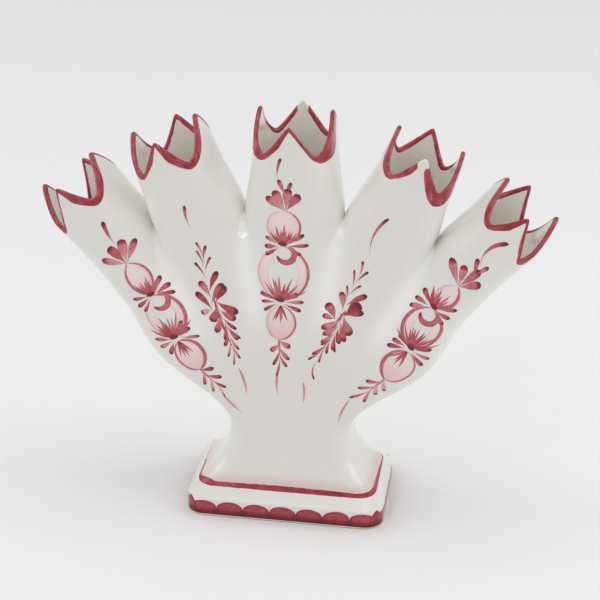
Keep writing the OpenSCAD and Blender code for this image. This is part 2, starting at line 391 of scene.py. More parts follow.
@dataclass(frozen=True)
class WhiteGlaze(FiredFinish):
    """Warm white tin glaze, pooled in hollows and tinted there with painted shade, whitened in the grooves
    by painted light, with the crimson of rims and step line brushed on.
    """

    colour: Colour = (233, 231, 226)
    # Whiter colour of painted light in the grooves and round the crotches, lifting the shade there
    deep: Colour = (250, 249, 245)
    # Cream of pooled glaze and of the painted warm shade inside the mouths
    thick: Colour = (240, 231, 208)
    blush: Colour = (218, 168, 170)
    clay: Colour = (196, 172, 140)
    ragged_noise: Place = (420.0, 3.0, 0.6)
    pool_and_shade_cloud: float = 0.16
    wash_body: float = 0.6
    wash_cloud: float = 0.7
    wash_ragged: float = 0.4
    across_pitch: float = 60.0
    hair_pitch: Point = (0.22, 2.2)
    cloud_pitch: Point = (0.28, 0.5)
    edge_ragged: float = 0.4
    edge_hairs: float = 0.45
    edge_step: Point = (0.0, 0.14)
    gap_step: Point = (0.27, 0.33)
    load: float = 0.62
    load_cloud: float = 0.7
    load_hairs: float = 0.5
    load_inside: float = 0.06
    inside_step: Point = (0.0, 0.9)
    bare_ragged: float = 0.6
    bare_step: Point = (0.42, 0.58)
    bare_roughness: float = 0.6

    def ground(self, wiring: Wiring, tint: Term, ragged: Term) -> NodeSocket:
        """Colour under the paint: whiter in grooves with painted light, creamier where pooled glaze and
        painted shade lie, washed above the step line.

        Args:
            wiring: the material's wiring.
            tint: unevenness of the colour.
            ragged: fine noise.

        Returns:
            The colour.
        """
        # Painted light whitens the grooves and crotches
        white = wiring.colour_mix(wiring.mark(Mark.GROOVE), linear(*self.colour), linear(*self.deep))
        pool = wiring.mark(Mark.POOL) + (tint - 0.5) * self.pool_and_shade_cloud
        glazed = wiring.colour_mix(pool.clamp(), white, linear(*self.thick))
        strength = ragged * self.wash_ragged + tint * self.wash_cloud + self.wash_body
        wash = (wiring.mark(Mark.BLUSH) * strength).clamp()
        return wiring.colour_mix(wash, glazed, linear(*self.blush))

    def brushed(self, finish: Finish, shared: SharedEffects, ground: object, ragged: Term) -> NodeSocket:
        """Colour with the crimson band brushed over the ground.

        Args:
            finish: the material.
            shared: node groups.
            ground: colour under the band.
            ragged: fine noise.

        Returns:
            The colour.
        """
        wiring = finish.wiring
        run, band = wiring.mark(Mark.RUN), wiring.mark(Mark.BAND)
        across = wiring.parts(wiring.object_place())[0] * self.across_pitch
        hair_place, cloud_place = (wiring.vector(run * along, band * deep, across)
                                   for along, deep in (self.hair_pitch, self.cloud_pitch))
        hairs = wiring.noise(hair_place, 1.0)
        cloud = wiring.noise(cloud_place, 1.0, self.cloud_detail)
        edge = band + ragged * self.edge_ragged + hairs * self.edge_hairs
        inside = edge.ramp(*self.inside_step) * self.load_inside
        amount = cloud * self.load_cloud + hairs * self.load_hairs + inside + self.load
        paint = finish.group(shared.pigment, {"Load": amount}).outputs["Colour"]
        covered = edge.ramp(*self.edge_step) * hairs.ramp(*self.gap_step).flip()
        return wiring.colour_mix(covered, ground, paint)

    def material(self, shared: SharedEffects) -> Material:
        """Build the material.

        Args:
            shared: node groups.

        Returns:
            The material.
        """
        finish, fired = self.start("white_glaze", shared)
        wiring = finish.wiring
        tint = wiring.term(fired.outputs["Tint"])
        ragged = wiring.noise(wiring.object_place(), *self.ragged_noise)
        painted = self.brushed(finish, shared, self.ground(wiring, tint, ragged), ragged)
        bare = (wiring.mark(Mark.BARE) + ragged * self.bare_ragged).ramp(*self.bare_step)
        colour = wiring.colour_mix(bare, painted, linear(*self.clay))
        roughness = wiring.term(fired.outputs["Roughness"]) + bare * self.bare_roughness
        finish.surface(colour, roughness, fired.outputs["Height"], self.bump)
        return finish.material


@dataclass(frozen=True)
class CrimsonEnamel(FiredFinish):
    """Brushed crimson colour under the same gloss, darker where the brush was set down or lifted."""

    gloss: float = 0.17
    sway: float = 0.05
    hair_pitch: Point = (0.35, 3.0)
    hair_load: float = 0.2
    cloud_pitch: float = 0.9
    cloud_load: float = 0.3
    uneven_step: Point = (0.1, 0.45)

    def material(self, shared: SharedEffects) -> Material:
        """Build the material.

        Args:
            shared: node groups.

        Returns:
            The material.
        """
        finish, fired = self.start("crimson_enamel", shared)
        wiring = finish.wiring
        load = wiring.mark(Mark.PIGMENT)
        along, across, seed = wiring.parts(wiring.mark(Mark.STROKE, "Vector"))
        hair_place = wiring.vector(along * self.hair_pitch[0], across * self.hair_pitch[1], seed)
        hairs = wiring.noise(hair_place, 1.0)
        cloud_place = wiring.vector(along * self.cloud_pitch, across * self.cloud_pitch, seed)
        cloud = wiring.noise(cloud_place, 1.0, self.cloud_detail)
        uneven = (hairs * self.hair_load + cloud * self.cloud_load) * load.ramp(*self.uneven_step)
        colour = finish.group(shared.pigment, {"Load": load + uneven}).outputs["Colour"]
        finish.surface(colour, fired.outputs["Roughness"], fired.outputs["Height"], self.bump)
        return finish.material


@dataclass(frozen=True)
class BareClay(FiredFinish):
    """Buff biscuit of the unglazed underside, sandy and matt."""

    gloss: float = 0.82
    sway: float = 0.12
    grain: float = 900.0
    bump: float = 0.00012
    colour: Colour = (204, 184, 154)
    dark: Colour = (168, 142, 110)

    def material(self, shared: SharedEffects) -> Material:
        """Build the material.

        Args:
            shared: node groups.

        Returns:
            The material.
        """
        finish, fired = self.start("bare_clay", shared)
        colour = finish.wiring.colour_mix(fired.outputs["Tint"], linear(*self.dark), linear(*self.colour))
        finish.surface(colour, fired.outputs["Roughness"], fired.outputs["Height"], self.bump)
        return finish.material


@dataclass(frozen=True)
class Palette:
    """The three finished materials."""

    glaze: Material
    enamel: Material
    clay: Material

    @classmethod
    def mixed(cls) -> "Palette":
        """Palette with every finish built."""
        shared = SharedEffects()
        return cls(*(finish.material(shared) for finish in (WhiteGlaze(), CrimsonEnamel(), BareClay())))


@dataclass(frozen=True)
class Outline:
    """Points of a finger, with the facts that its finish needs."""

    points: Array
    share: Array
    level: Array

    @classmethod
    def stacked(cls, parts: list["Outline"], axis: int) -> "Outline":
        """Several outlines as one, with more rows along axis 0 or more columns along axis 1."""
        return cls(*(np.concatenate([getattr(part, name) for part in parts], axis)
                     for name in ("points", "share", "level")))


@dataclass(frozen=True)
class FanPlan:
    """Rules of the fan's shape, which the solids follow too."""

    fan_height: float = 15.0
    leans: tuple[float, ...] = (-36.6, -19.8, 0.0, 19.8, 36.6)
    crotches: tuple[float, ...] = (122.0, 117.0, 117.0, 122.0)
    mouths: tuple[float, ...] = (30.0, 31.8, 33.8, 31.8, 30.0)
    seat_reach: float = 62.0
    groove_reach: float = 48.0
    valley_reach: float = 146.0
    wall: float = 3.2
    seat_depth: float = 36.0
    belly_depth: float = 40.0
    belly_reach: float = 104.0
    mouth_depth: float = 39.0
    free_seat_half: float = 12.8
    flank_half: float = 16.4
    flank_reach: float = 78.0
    neck_half: float = 12.8
    neck_reach: float = 104.0
    groove_softness: float = 0.8
    groove_hold: float = 3.0
    round_power: float = 2.2
    mouth_power: float = 3.0
    side_peak: float = 14.3
    face_peak: float = 12.0
    free_valley_drop: float = 4.0
    side_lean: float = 1.3
    face_flare: float = 0.8
    valley_angle: float = 53.0
    point_sharpness: float = 0.94
    crown_draw: float = 17.0
    rim_wall: float = 1.8
    lip_round: float = 1.0
    least_corner: float = 14.0
    halvings: int = 26

    def joined(self, k: int, side: int) -> bool:
        """Whether a finger has a neighbour on that side."""
        return 0 <= k + side < len(self.leans)

    def crotch(self, k: int, side: int) -> float:
        """Reach of the crotch on that side."""
        return self.crotches[min(k, k + side)]

    def crown_base(self) -> float:
        """Reach at which the crowns begin to be drawn up."""
        return max(self.valley_reach - self.crown_draw, max(self.crotches) + 1.0)

    def free_half(self, reach: Array, mouth: float) -> Array:
        """Half width of an outer finger's free side.

        Args:
            reach: distance from the fan point.
            mouth: half width at the mouth.

        Returns:
            The half width.
        """
        rise = np.clip((reach - self.seat_reach) / (self.flank_reach - self.seat_reach), -1.0, 1.0)
        low = mix(self.free_seat_half, self.flank_half, np.sin(math.pi / 2 * rise))
        middle = mix(self.flank_half, self.neck_half, ease(self.flank_reach, self.neck_reach, reach))
        flare = np.clip((reach - self.neck_reach) / (self.valley_reach - self.neck_reach), 0.0, 1.0)
        top = mix(self.neck_half, mouth, flare * flare)
        return np.where(reach < self.flank_reach, low, np.where(reach < self.neck_reach, middle, top))

    def side_half(self, k: int, side: int, reach: Array) -> Array:
        """Half width of a finger on one side.

        Args:
            k: finger, from the left.
            side: -1 left, 1 right.
            reach: distance from the fan point.

        Returns:
            The half width.
        """
        mouth = self.mouths[k] / 2
        lean_in = self.side_lean * np.maximum(0.0, reach - self.valley_reach) / self.side_peak
        if not self.joined(k, side):
            return self.free_half(reach, mouth) - lean_in
        fork = self.crotch(k, side)
        slope = math.tan(math.radians(abs(self.leans[k + side] - self.leans[k]) / 2))
        above = mix(fork * slope, mouth, ease(fork, self.valley_reach, reach)) - lean_in
        return np.where(reach < fork, reach * slope, above)

    def half_depth(self, reach: Array) -> Array:
        """Half depth of every finger.

        Args:
            reach: distance from the fan point.

        Returns:
            The half depth.
        """
        body = mix(self.seat_depth, self.belly_depth, ease(self.seat_reach, self.belly_reach, reach))
        whole = mix(body, self.mouth_depth, ease(self.belly_reach, self.valley_reach, reach))
        return whole / 2 + self.face_flare * np.maximum(0.0, reach - self.valley_reach) / self.face_peak

    def groove(self, k: int, side: int, reach: Array) -> Array:
        """Share of the depth at which two fingers cut each other.

        Args:
            k: finger.
            side: which side.
            reach: distance from the fan point.

        Returns:
            1 low down, 0 from the crotch up.
        """
        if not self.joined(k, side):
            return np.zeros_like(reach)
        t = (reach - self.groove_reach) / (self.crotch(k, side) - self.groove_reach)
        return np.sqrt(np.clip(1.0 - np.maximum(t, 0.0) ** self.groove_hold, 0.0, 1.0))

    def squareness(self, reach: Array) -> Array:
        """Power of the section at a reach."""
        return mix(self.round_power, self.mouth_power, ease(min(self.crotches), self.valley_reach, reach))

    def lobe(self, q: Array, g: Array, power: Array) -> Array:
        """Depth of a section as a share: a finger and its neighbour, run together by a soft groove.

        Args:
            q: distance from the axis as a share of the half width.
            g: share at which the two cut each other.
            power: squareness.

        Returns:
            The depth.
        """
        own, other = (np.maximum(0.0, 1.0 - x ** power * (1.0 - g ** power)) ** (1.0 / power)
                      for x in (q, 2.0 - q))
        soft = 4.0 * self.groove_softness * g * (1.0 - g)
        near = np.maximum(0.0, soft - abs(own - other)) / np.maximum(soft, TINY)
        return np.maximum(own, other) + near * near * soft / 4.0

    def hit(self, angle: Array, g: Array, power: Array) -> tuple[Array, Array]:
        """Where a direction from the axis meets the section.

        Args:
            angle: direction in degrees from the side.
            g: groove share.
            power: squareness.

        Returns:
            Shares of the half width and the half depth.
        """
        c, s = np.cos(np.radians(angle)), np.sin(np.radians(angle))
        low, high = np.zeros_like(c), np.ones_like(c)
        for _ in range(self.halvings):
            q = (low + high) / 2
            inside = self.lobe(q, g, power) * c > q * s
            low, high = np.where(inside, q, low), np.where(inside, high, q)
        q = (low + high) / 2
        flat = self.lobe(np.ones_like(q), g, power) * c >= s
        return np.where(flat, 1.0, q), np.where(flat, s / np.maximum(c, TINY), self.lobe(q, g, power))

    def corner(self, k: int, side: int, reach: Array) -> Array:
        """Direction of the section's corner in degrees.

        Args:
            k: finger.
            side: which side.
            reach: distance from the fan point.

        Returns:
            The direction.
        """
        if not self.joined(k, side):
            return np.full_like(reach, self.valley_angle)
        fork = self.crotch(k, side)
        edge = self.lobe(np.ones_like(reach), self.groove(k, side, reach), self.squareness(reach))
        low = np.maximum(self.least_corner, np.degrees(np.arctan(edge)))
        high = mix(self.least_corner, self.valley_angle, ease(fork, self.valley_reach, reach))
        return np.where(reach < fork, low, high)

    def crown(self, k: int, side: int, w: Array) -> Array:
        """Height of the rim over its valleys.

        Args:
            k: finger.
            side: which side.
            w: 0 at a side point, 1 at a valley, 2 at a front or back point.

        Returns:
            The height.
        """
        valley = 0.0 if self.joined(k, side) else -self.free_valley_drop
        swing = np.arcsin(self.point_sharpness * np.cos(math.pi * w)) / math.asin(self.point_sharpness)
        return mix(valley, np.where(w <= 1.0, self.side_peak, self.face_peak), 0.5 + swing / 2)

    def place(self, k: int, reach: Array, across: Array, y: Array) -> Array:
        """Points at places along, across and through a finger, in the shared frame."""
        c, s = math.cos(math.radians(self.leans[k])), math.sin(math.radians(self.leans[k]))
        return np.stack([reach * s + across * c, y, self.fan_height + reach * c - across * s], -1)

    def outline(self, k: int, side: int, face: int, w: Array, reach: Array, inset: Point,
                lift: Array) -> Outline:
        """Quarter outlines of a finger.

        Args:
            k: finger.
            side: -1 left, 1 right.
            face: -1 front, 1 back.
            w: places round the quarter.
            reach: nominal reach of each row.
            inset: how far the side and the face are set in.
            lift: share of the crown that is drawn up.

        Returns:
            The points, with their share of the half width and true reach.
        """
        w, reach, lift = np.broadcast_arrays(*(np.asarray(a, float) for a in (w, reach, lift)))
        level = reach + lift * self.crown(k, side, w)
        corner = self.corner(k, side, reach)
        angle = np.where(w <= 1.0, corner * w, mix(corner, 90.0, w - 1.0))
        q, h = self.hit(angle, self.groove(k, side, level), self.squareness(level))
        across = side * q * (self.side_half(k, side, level) - inset[0])
        y = face * h * (self.half_depth(level) - inset[1])
        return Outline(self.place(k, level, across, y), q, level)


@dataclass
class Skin:
    """A closed skin over rows of points, the last row joined to the first."""

    name: str
    rows: Array
    hidden: Array
    marks: dict[Mark, Array]

    def corners(self) -> Array:
        """Corners of each four-sided patch.

        Returns:
            Their point numbers, row by row.
        """
        rows, count = self.rows.shape[:2]
        i, j = np.meshgrid(np.arange(rows), np.arange(count), indexing="ij")
        up, beside = (i + 1) % rows, (j + 1) % count
        patches = [i * count + j, i * count + beside, up * count + beside, up * count + j]
        return np.stack([p.ravel() for p in patches], -1)

    def points(self) -> Array:
        """All points in one list."""
        return self.rows.reshape(-1, 3)

    def patch_vectors(self) -> Array:
        """Normal of each patch, as long as the patch is large."""
        a, b, c, d = self.points()[self.corners()].swapaxes(0, 1)
        return np.cross(c - a, d - b)

    def to_object(self, material: Material, normals: Array) -> Object:
        """Make the piece.

        Args:
            material: its finish.
            normals: shading normal at each corner of each patch.

        Returns:
            The object, linked to the scene.
        """
        name = "glazed_" + self.name
        mesh = bpy.data.meshes.new(name)
        mesh.from_pydata((self.points() * METRE).tolist(), [], self.corners().tolist())
        mesh.shade_smooth()
        for mark, values in self.marks.items():
            layer = mesh.attributes.new(mark.value, "FLOAT", "POINT")
            layer.data.foreach_set("value", values.astype(np.float32).ravel())
        mesh.normals_split_custom_set(normals.reshape(-1, 3).tolist())
        mesh.materials.append(material)
        return linked(name, mesh)


def seamless_normals(skins: list[Skin]) -> list[Array]:
    """Shading normals that run on from skin to skin where their points meet.

    Args:
        skins: pieces that are glazed over together.

    Returns:
        For each skin, a normal at each corner of each patch. Hidden patches stay flat.
    """
    keys = np.concatenate([np.round(skin.points() * WELD_STEPS).astype(np.int64) for skin in skins])
    _, member = np.unique(keys, axis=0, return_inverse=True)
    member = member.ravel()
    sums = np.zeros((member.max() + 1, 3))
    starts = np.cumsum([0] + [len(skin.points()) for skin in skins])
    for skin, start in zip(skins, starts):
        seen = ~skin.hidden.ravel()
        for corner in skin.corners()[seen].T:
            np.add.at(sums, member[start + corner], skin.patch_vectors()[seen])
    normals = []
    for skin, start in zip(skins, starts):
        smooth = sums[member[start + skin.corners()]]
        chosen = np.where(skin.hidden.reshape(-1, 1, 1), skin.patch_vectors()[:, None], smooth)
        normals.append(chosen / np.maximum(np.linalg.norm(chosen, axis=-1, keepdims=True), TINY))
    return normals


@dataclass(frozen=True)
class BrushForm:
    """How a brush mark swells, where its pigment gathers and how thick it lies."""

    belly: float
    tip: float = 0.5
    head: float = 0.0
    head_from: float = 0.5
    root: float = 0.0
    root_to: float = 0.5
    coat: float = 0.05


class Brush(Enum):
    """Kinds of brush mark."""

    LEAF = BrushForm(0.76, head=0.6, head_from=0.72, root=-0.1)
    THREAD = BrushForm(0.86, head=0.6, head_from=0.7, root=-0.1)
    ARC = BrushForm(0.50, head=0.06, root=-0.06)
    CRESCENT = BrushForm(0.45, head=-0.05, root=0.35, root_to=0.22)
    SPIKE = BrushForm(0.34, tip=1.0, head=-0.02, root=0.34, root_to=0.34, coat=0.07)
    ROOT = BrushForm(0.50, coat=0.10)
    TAIL = BrushForm(0.35, tip=0.7, head=-0.10, coat=0.04)
    WASH = BrushForm(0.50, tip=0.4, head=0.1, head_from=0.3, coat=0.03)


@dataclass(frozen=True)
class Dab:
    """One brush mark: its start across and along the finger, and its heading in degrees from upright."""

    brush: Brush
    start: Point
    heading: float
    length: float
    width: float
    tone: float
    bow: float = 0.0


def stroke(brush: Brush, start: Point, end: Point, width: float, tone: float, bow: float = 0.0) -> Dab:
    """A brush mark between two places. A bow bends it to the right of its heading."""
    dx, dy = end[0] - start[0], end[1] - start[1]
    return Dab(brush, start, math.degrees(math.atan2(dx, dy)), math.hypot(dx, dy), width, tone, bow)


def moved(place: Point, across: float, along: float) -> Point:
    """A place shifted across and along the finger."""
    return (place[0] + across, place[1] + along)


@dataclass(frozen=True)
class Hand:
    """The painter's hand, which makes no two marks alike. Its seed is fixed."""

    chance: np.random.Generator
    sizes: Point = (0.84, 1.14)
    swells: Point = (0.8, 1.2)
    turns: Point = (-5.0, 5.0)
    shades: Point = (-0.10, 0.12)
    row_bow: float = 0.4

    def mark(self, plan: Dab) -> Dab:
        """Make one mark.

        Args:
            plan: the mark as it was meant.

        Returns:
            The mark, a little off its heading, length, width and tone.
        """
        size, swell, turn, shade = (self.chance.uniform(*span)
                                    for span in (self.sizes, self.swells, self.turns, self.shades))
        return replace(plan, heading=plan.heading + turn, length=plan.length * size,
                       width=plan.width * swell, tone=plan.tone + shade)

    def fan(self, brush: Brush, root: Point, headings: Point, count: int, length: float, width: float,
            tone: float, gap: float = 0.0, curl: float = 0.0, short: float = 1.0) -> list[Dab]:
        """Marks that spread from one root.

        Args:
            brush: kind of mark.
            root: where they meet.
            headings: first and last heading.
            count: how many.
            length: their length.
            width: their width.
            tone: load of pigment.
            gap: how far from the root they start.
            curl: how far the outer ones bend.
            short: length of every second one as a share.

        Returns:
            The marks.
        """
        dabs = []
        for n in range(count):
            t = n / max(1, count - 1)
            angle = math.radians(mix(*headings, t))
            start = moved(root, gap * math.sin(angle), gap * math.cos(angle))
            size = length * (short if n % 2 else 1.0)
            bow = curl * (2.0 * t - 1.0)
            dabs.append(self.mark(Dab(brush, start, math.degrees(angle), size, width, tone, bow)))
        return dabs

    def row(self, brush: Brush, start: Point, end: Point, count: int, splay: Point, lengths: Point,
            widths: Point, tones: Point) -> list[Dab]:
        """Marks that leave a stem on its two sides in turn.

        Args:
            brush: kind of mark.
            start: where the first one leaves.
            end: where the last one leaves.
            count: how many.
            splay: first and last angle from the stem.
            lengths: first and last length.
            widths: first and last width.
            tones: load of pigment on the stem's left and right.

        Returns:
            The marks.
        """
        stem = math.degrees(math.atan2(end[0] - start[0], end[1] - start[1]))
        dabs = []
        for n in range(count):
            t, right = n / (count - 1), n % 2
            way = 1.0 if right else -1.0
            place = (mix(start[0], end[0], t), mix(start[1], end[1], t))
            heading = stem + way * mix(*splay, t)
            length, width = mix(*lengths, t), mix(*widths, t)
            bow = -way * self.row_bow
            dabs.append(self.mark(Dab(brush, place, heading, length, width, tones[right], bow)))
        return dabs


@dataclass(frozen=True)
class Bud:
    """A bud's bulge and outline width, each on the left and on the right. A thin outline is pale."""

    bulge: Point
    line: Point
    filled: bool = True
    wash: float = 0.08
    wash_width: float = 3.8
    wash_inset: float = 2.4
    thin_line: float = 0.75
    thin_tone: float = 0.22
    tone: float = 0.46

    def dabs(self, top: Point, root: Point) -> list[Dab]:
        """Outlines, over a pale wash that fills the bud or follows each of them.

        Args:
            top: where the outlines start.
            root: where they end.

        Returns:
            The marks.
        """
        left, right = self.bulge
        dabs = []
        if self.filled:
            dabs.append(stroke(Brush.WASH, top, root, left + right, self.wash, (left - right) / 2))
        for way, bulge, line in zip((1.0, -1.0), self.bulge, self.line):
            if not self.filled:
                bow = way * (bulge - self.wash_inset)
                dabs.append(stroke(Brush.WASH, top, root, self.wash_width, self.wash, bow))
            tone = self.tone if line > self.thin_line else self.thin_tone
            dabs.append(stroke(Brush.ARC, top, root, line, tone, way * bulge))
        return dabs


@dataclass(frozen=True)
class BudString:
    """A string of three buds on one finger, from its whisker down to its stalk."""

    finger: int
    whisker: Span
    crest: Point
    top: Point
    upper_knot: Point
    lower_knot: Point
    foot: Point
    end: Point
    stalk: Span
    turn: float
    buds: tuple[Bud, Bud, Bud]
    sprig_tones: Point = (0.46, 0.52)
    whisker_width: float = 1.2
    whisker_bow: float = -0.6
    spray: Point = (-60.0, 38.0)

    def knot(self, hand: Hand, place: Point, spikes: int, spread: float, length: float) -> list[Dab]:
        """A tuft of spikes on its dark root, with three dabs at each side.

        Args:
            hand: who paints it.
            place: the root.
            spikes: how many spikes.
            spread: how far the outer ones turn from the middle.
            length: their length.

        Returns:
            The marks.
        """
        headings = (self.turn - spread, self.turn + spread)
        below = moved(place, 0.0, -1.0)
        return [
            *hand.fan(Brush.SPIKE, place, headings, spikes, length, width=1.05, tone=0.5, curl=0.7,
                      short=0.78),
            stroke(Brush.ROOT, moved(place, -1.9, 0.2), moved(place, 1.9, -0.3), width=1.7, tone=0.92),
            *hand.fan(Brush.LEAF, below, (-66.0, -122.0), count=3, length=6.8, width=1.8, tone=0.46,
                      gap=1.8),
            *hand.fan(Brush.LEAF, below, (58.0, 112.0), count=3, length=7.6, width=1.8, tone=0.48,
                      gap=2.0)]

    def dabs(self) -> list[Dab]:
        """Every mark of the string.

        Returns:
            The marks, the washes first.
        """
        hand = Hand(np.random.default_rng(self.finger))
        small, big, lower = self.buds
        hang = moved(self.lower_knot, 0.3, -2.4)
        crescent = (moved(self.upper_knot, -2.2, -5.2), moved(self.upper_knot, 2.6, -1.2))
        return [
            *small.dabs(self.top, self.upper_knot),
            *big.dabs(moved(self.upper_knot, 0.0, -1.0), self.lower_knot),
            *lower.dabs(hang, self.foot),
            stroke(Brush.THREAD, *self.whisker, width=self.whisker_width, tone=0.5, bow=self.whisker_bow),
            *hand.fan(Brush.LEAF, self.top, self.spray, count=4, length=10.0, width=3.4, tone=0.46,
                      gap=0.4, short=0.9),
            *hand.fan(Brush.LEAF, self.crest, (-24.0, 18.0), count=2, length=6.4, width=1.7, tone=0.48),
            *self.knot(hand, self.upper_knot, spikes=9, spread=48.0, length=7.6),
            stroke(Brush.CRESCENT, *crescent, width=2.6, tone=0.47, bow=5.2),
            *self.knot(hand, self.lower_knot, spikes=13, spread=60.0, length=10.8),
            *hand.fan(Brush.SPIKE, hang, (208.0, 158.0), count=5, length=7.6, width=0.9, tone=0.48),
            *hand.row(Brush.LEAF, self.foot, self.end, count=6, splay=(52.0, 14.0), lengths=(5.4, 8.6),
                      widths=(2.2, 1.1), tones=self.sprig_tones),
            stroke(Brush.TAIL, moved(self.foot, 0.0, 1.0), self.end, width=0.9, tone=0.4),
            stroke(Brush.TAIL, *self.stalk, width=0.9, tone=0.33, bow=0.7)]


@dataclass(frozen=True)
class LeafSpray:
    """A spray of leaves on one finger: threads above its heart, leaves round it, sprig and stalk below."""

    finger: int
    heart: Point
    threads: Span
    sprig: Span
    stalk: Span
    whisker: Span
    whisker_bow: float
    upward: Point
    dark_heading: float
    curl: Span | None = None

    def dabs(self) -> list[Dab]:
        """Every mark of the spray.

        Returns:
            The marks.
        """
        hand = Hand(np.random.default_rng(self.finger))
        low, high = moved(self.heart, -1.5, -2.0), moved(self.heart, 0.5, 6.0)
        right, dark = moved(self.heart, 1.2, 1.0), moved(self.heart, 1.4, 1.0)
        loose = [stroke(Brush.THREAD, *self.curl, width=0.9, tone=0.42, bow=1.6)] if self.curl else []
        return [
            *loose,
            stroke(Brush.TAIL, moved(self.heart, 1.2, 4.0), self.sprig[1], width=1.1, tone=0.56, bow=0.8),
            stroke(Brush.THREAD, *self.whisker, width=1.3, tone=0.45, bow=self.whisker_bow),
            *hand.row(Brush.THREAD, *self.threads, count=5, splay=(24.0, 14.0), lengths=(8.2, 8.0),
                      widths=(1.0, 1.1), tones=(0.42, 0.5)),
            *hand.row(Brush.LEAF, low, high, count=4, splay=self.upward, lengths=(9.4, 9.5),
                      widths=(3.3, 2.3), tones=(0.48, 0.52)),
            hand.mark(Dab(Brush.LEAF, dark, self.dark_heading, length=9.8, width=4.4, tone=0.8)),
            hand.mark(Dab(Brush.LEAF, low, heading=-96.0, length=5.0, width=2.4, tone=0.32)),
            *hand.row(Brush.LEAF, right, self.sprig[0], count=7, splay=(42.0, 22.0), lengths=(9.6, 7.4),
                      widths=(3.7, 1.2), tones=(0.54, 0.44)),
            *hand.row(Brush.THREAD, *self.sprig, count=6, splay=(24.0, 14.0), lengths=(7.0, 8.6),
                      widths=(1.5, 1.0), tones=(0.5, 0.44)),
            stroke(Brush.TAIL, *self.stalk, width=1.0, tone=0.33, bow=-0.6)]


def ornaments() -> list[BudString | LeafSpray]:
    """The ornament of each finger, from the left. Places are across and along the finger.

    Returns:
        The five ornaments.
    """
    outer_left = BudString(
        finger=0, whisker=((5.5, 127.0), (7.0, 137.5)), crest=(6.0, 121.0), top=(4.5, 117.5),
        upper_knot=(4.5, 101.5), lower_knot=(0.5, 80.5), foot=(0.5, 62.5), end=(2.0, 54.0),
        stalk=((1.5, 49.0), (3.0, 36.0)), turn=18.0,
        buds=(Bud((4.5, 5.0), (1.2, 1.0)), Bud((6.5, 9.5), (0.7, 1.6), filled=False),
              Bud((5.5, 6.5), (1.0, 1.6))),
        sprig_tones=(0.54, 0.32), whisker_width=1.8, spray=(-46.0, 50.0))
    inner_left = LeafSpray(
        finger=1, heart=(-1.0, 87.0), threads=((0.0, 99.0), (2.0, 108.0)),
        sprig=((0.5, 76.0), (-0.5, 66.0)), stalk=((-1.5, 56.5), (-2.5, 43.5)),
        whisker=((1.5, 121.5), (2.5, 131.0)), whisker_bow=-0.6, upward=(38.0, 24.0), dark_heading=42.0)
    centre = BudString(
        finger=2, whisker=((-4.5, 137.5), (-3.0, 146.5)), crest=(-1.0, 131.0), top=(-1.0, 124.5),
        upper_knot=(-2.0, 110.5), lower_knot=(-3.0, 85.5), foot=(-3.5, 67.0), end=(-3.0, 59.0),
        stalk=((-3.5, 54.0), (-4.0, 41.0)), turn=2.0,
        buds=(Bud((7.0, 6.5), (0.6, 0.9)), Bud((9.5, 11.0), (0.6, 1.1), filled=False),
              Bud((5.5, 6.5), (0.6, 0.8))))
    inner_right = LeafSpray(
        finger=3, heart=(-6.5, 82.5), threads=((-7.0, 90.0), (-6.0, 102.0)),
        sprig=((-5.5, 74.0), (-7.5, 66.0)), stalk=((-10.0, 47.5), (-6.5, 37.5)),
        whisker=((-5.5, 113.0), (-4.0, 130.5)), whisker_bow=-2.2, upward=(58.0, 28.0), dark_heading=24.0,
        curl=((-7.5, 60.0), (-6.0, 50.5)))
    outer_right = BudString(
        finger=4, whisker=((-2.0, 132.0), (1.0, 146.0)), crest=(-1.0, 127.0), top=(-2.5, 119.0),
        upper_knot=(-4.5, 106.0), lower_knot=(0.0, 85.5), foot=(1.5, 66.5), end=(0.0, 58.0),
        stalk=((-3.5, 49.0), (0.0, 36.5)), turn=-12.0,
        buds=(Bud((4.0, 4.5), (0.6, 1.6)), Bud((7.5, 8.0), (1.6, 1.4), filled=False),
              Bud((5.5, 7.5), (1.6, 0.8))),
        sprig_tones=(0.34, 0.5), whisker_width=1.9, whisker_bow=-3.0, spray=(-58.0, 40.0))
    return [outer_left, inner_left, centre, inner_right, outer_right]


@dataclass(frozen=True)
class Mesher:
    """How finely the visible skins are divided."""

    side_steps: int = 14
    face_steps: int = 22
    shaft_rows: int = 26
    crotch_steps: tuple[float, ...] = (0.0, 0.04, 0.16, 0.4, 0.8, 1.4, 2.2, 3.4)
    crown_rows: int = 20
    crown_crowding: float = 1.3
    lip_rows: int = 8
    inner_rows: int = 18
    band_steps: int = 4
    band_chunk: int = 400
    cove_rows: int = 26
    cove_crowding: float = 1.4
    turn_rows: int = 26
    inner_cove_rows: int = 8
    inner_turn_rows: int = 12
    corner_steps: int = 14
    edge_steps: int = 40
    fold_rows: int = 7
    face_rows: int = 7
    ledge_rows: int = 12

    def quarter(self) -> Array:
        """Places round a quarter of a finger, from side point to front or back point."""
        side = np.linspace(0.0, 1.0, self.side_steps + 1)
        return np.concatenate([side, np.linspace(1.0, 2.0, self.face_steps + 1)[1:]])


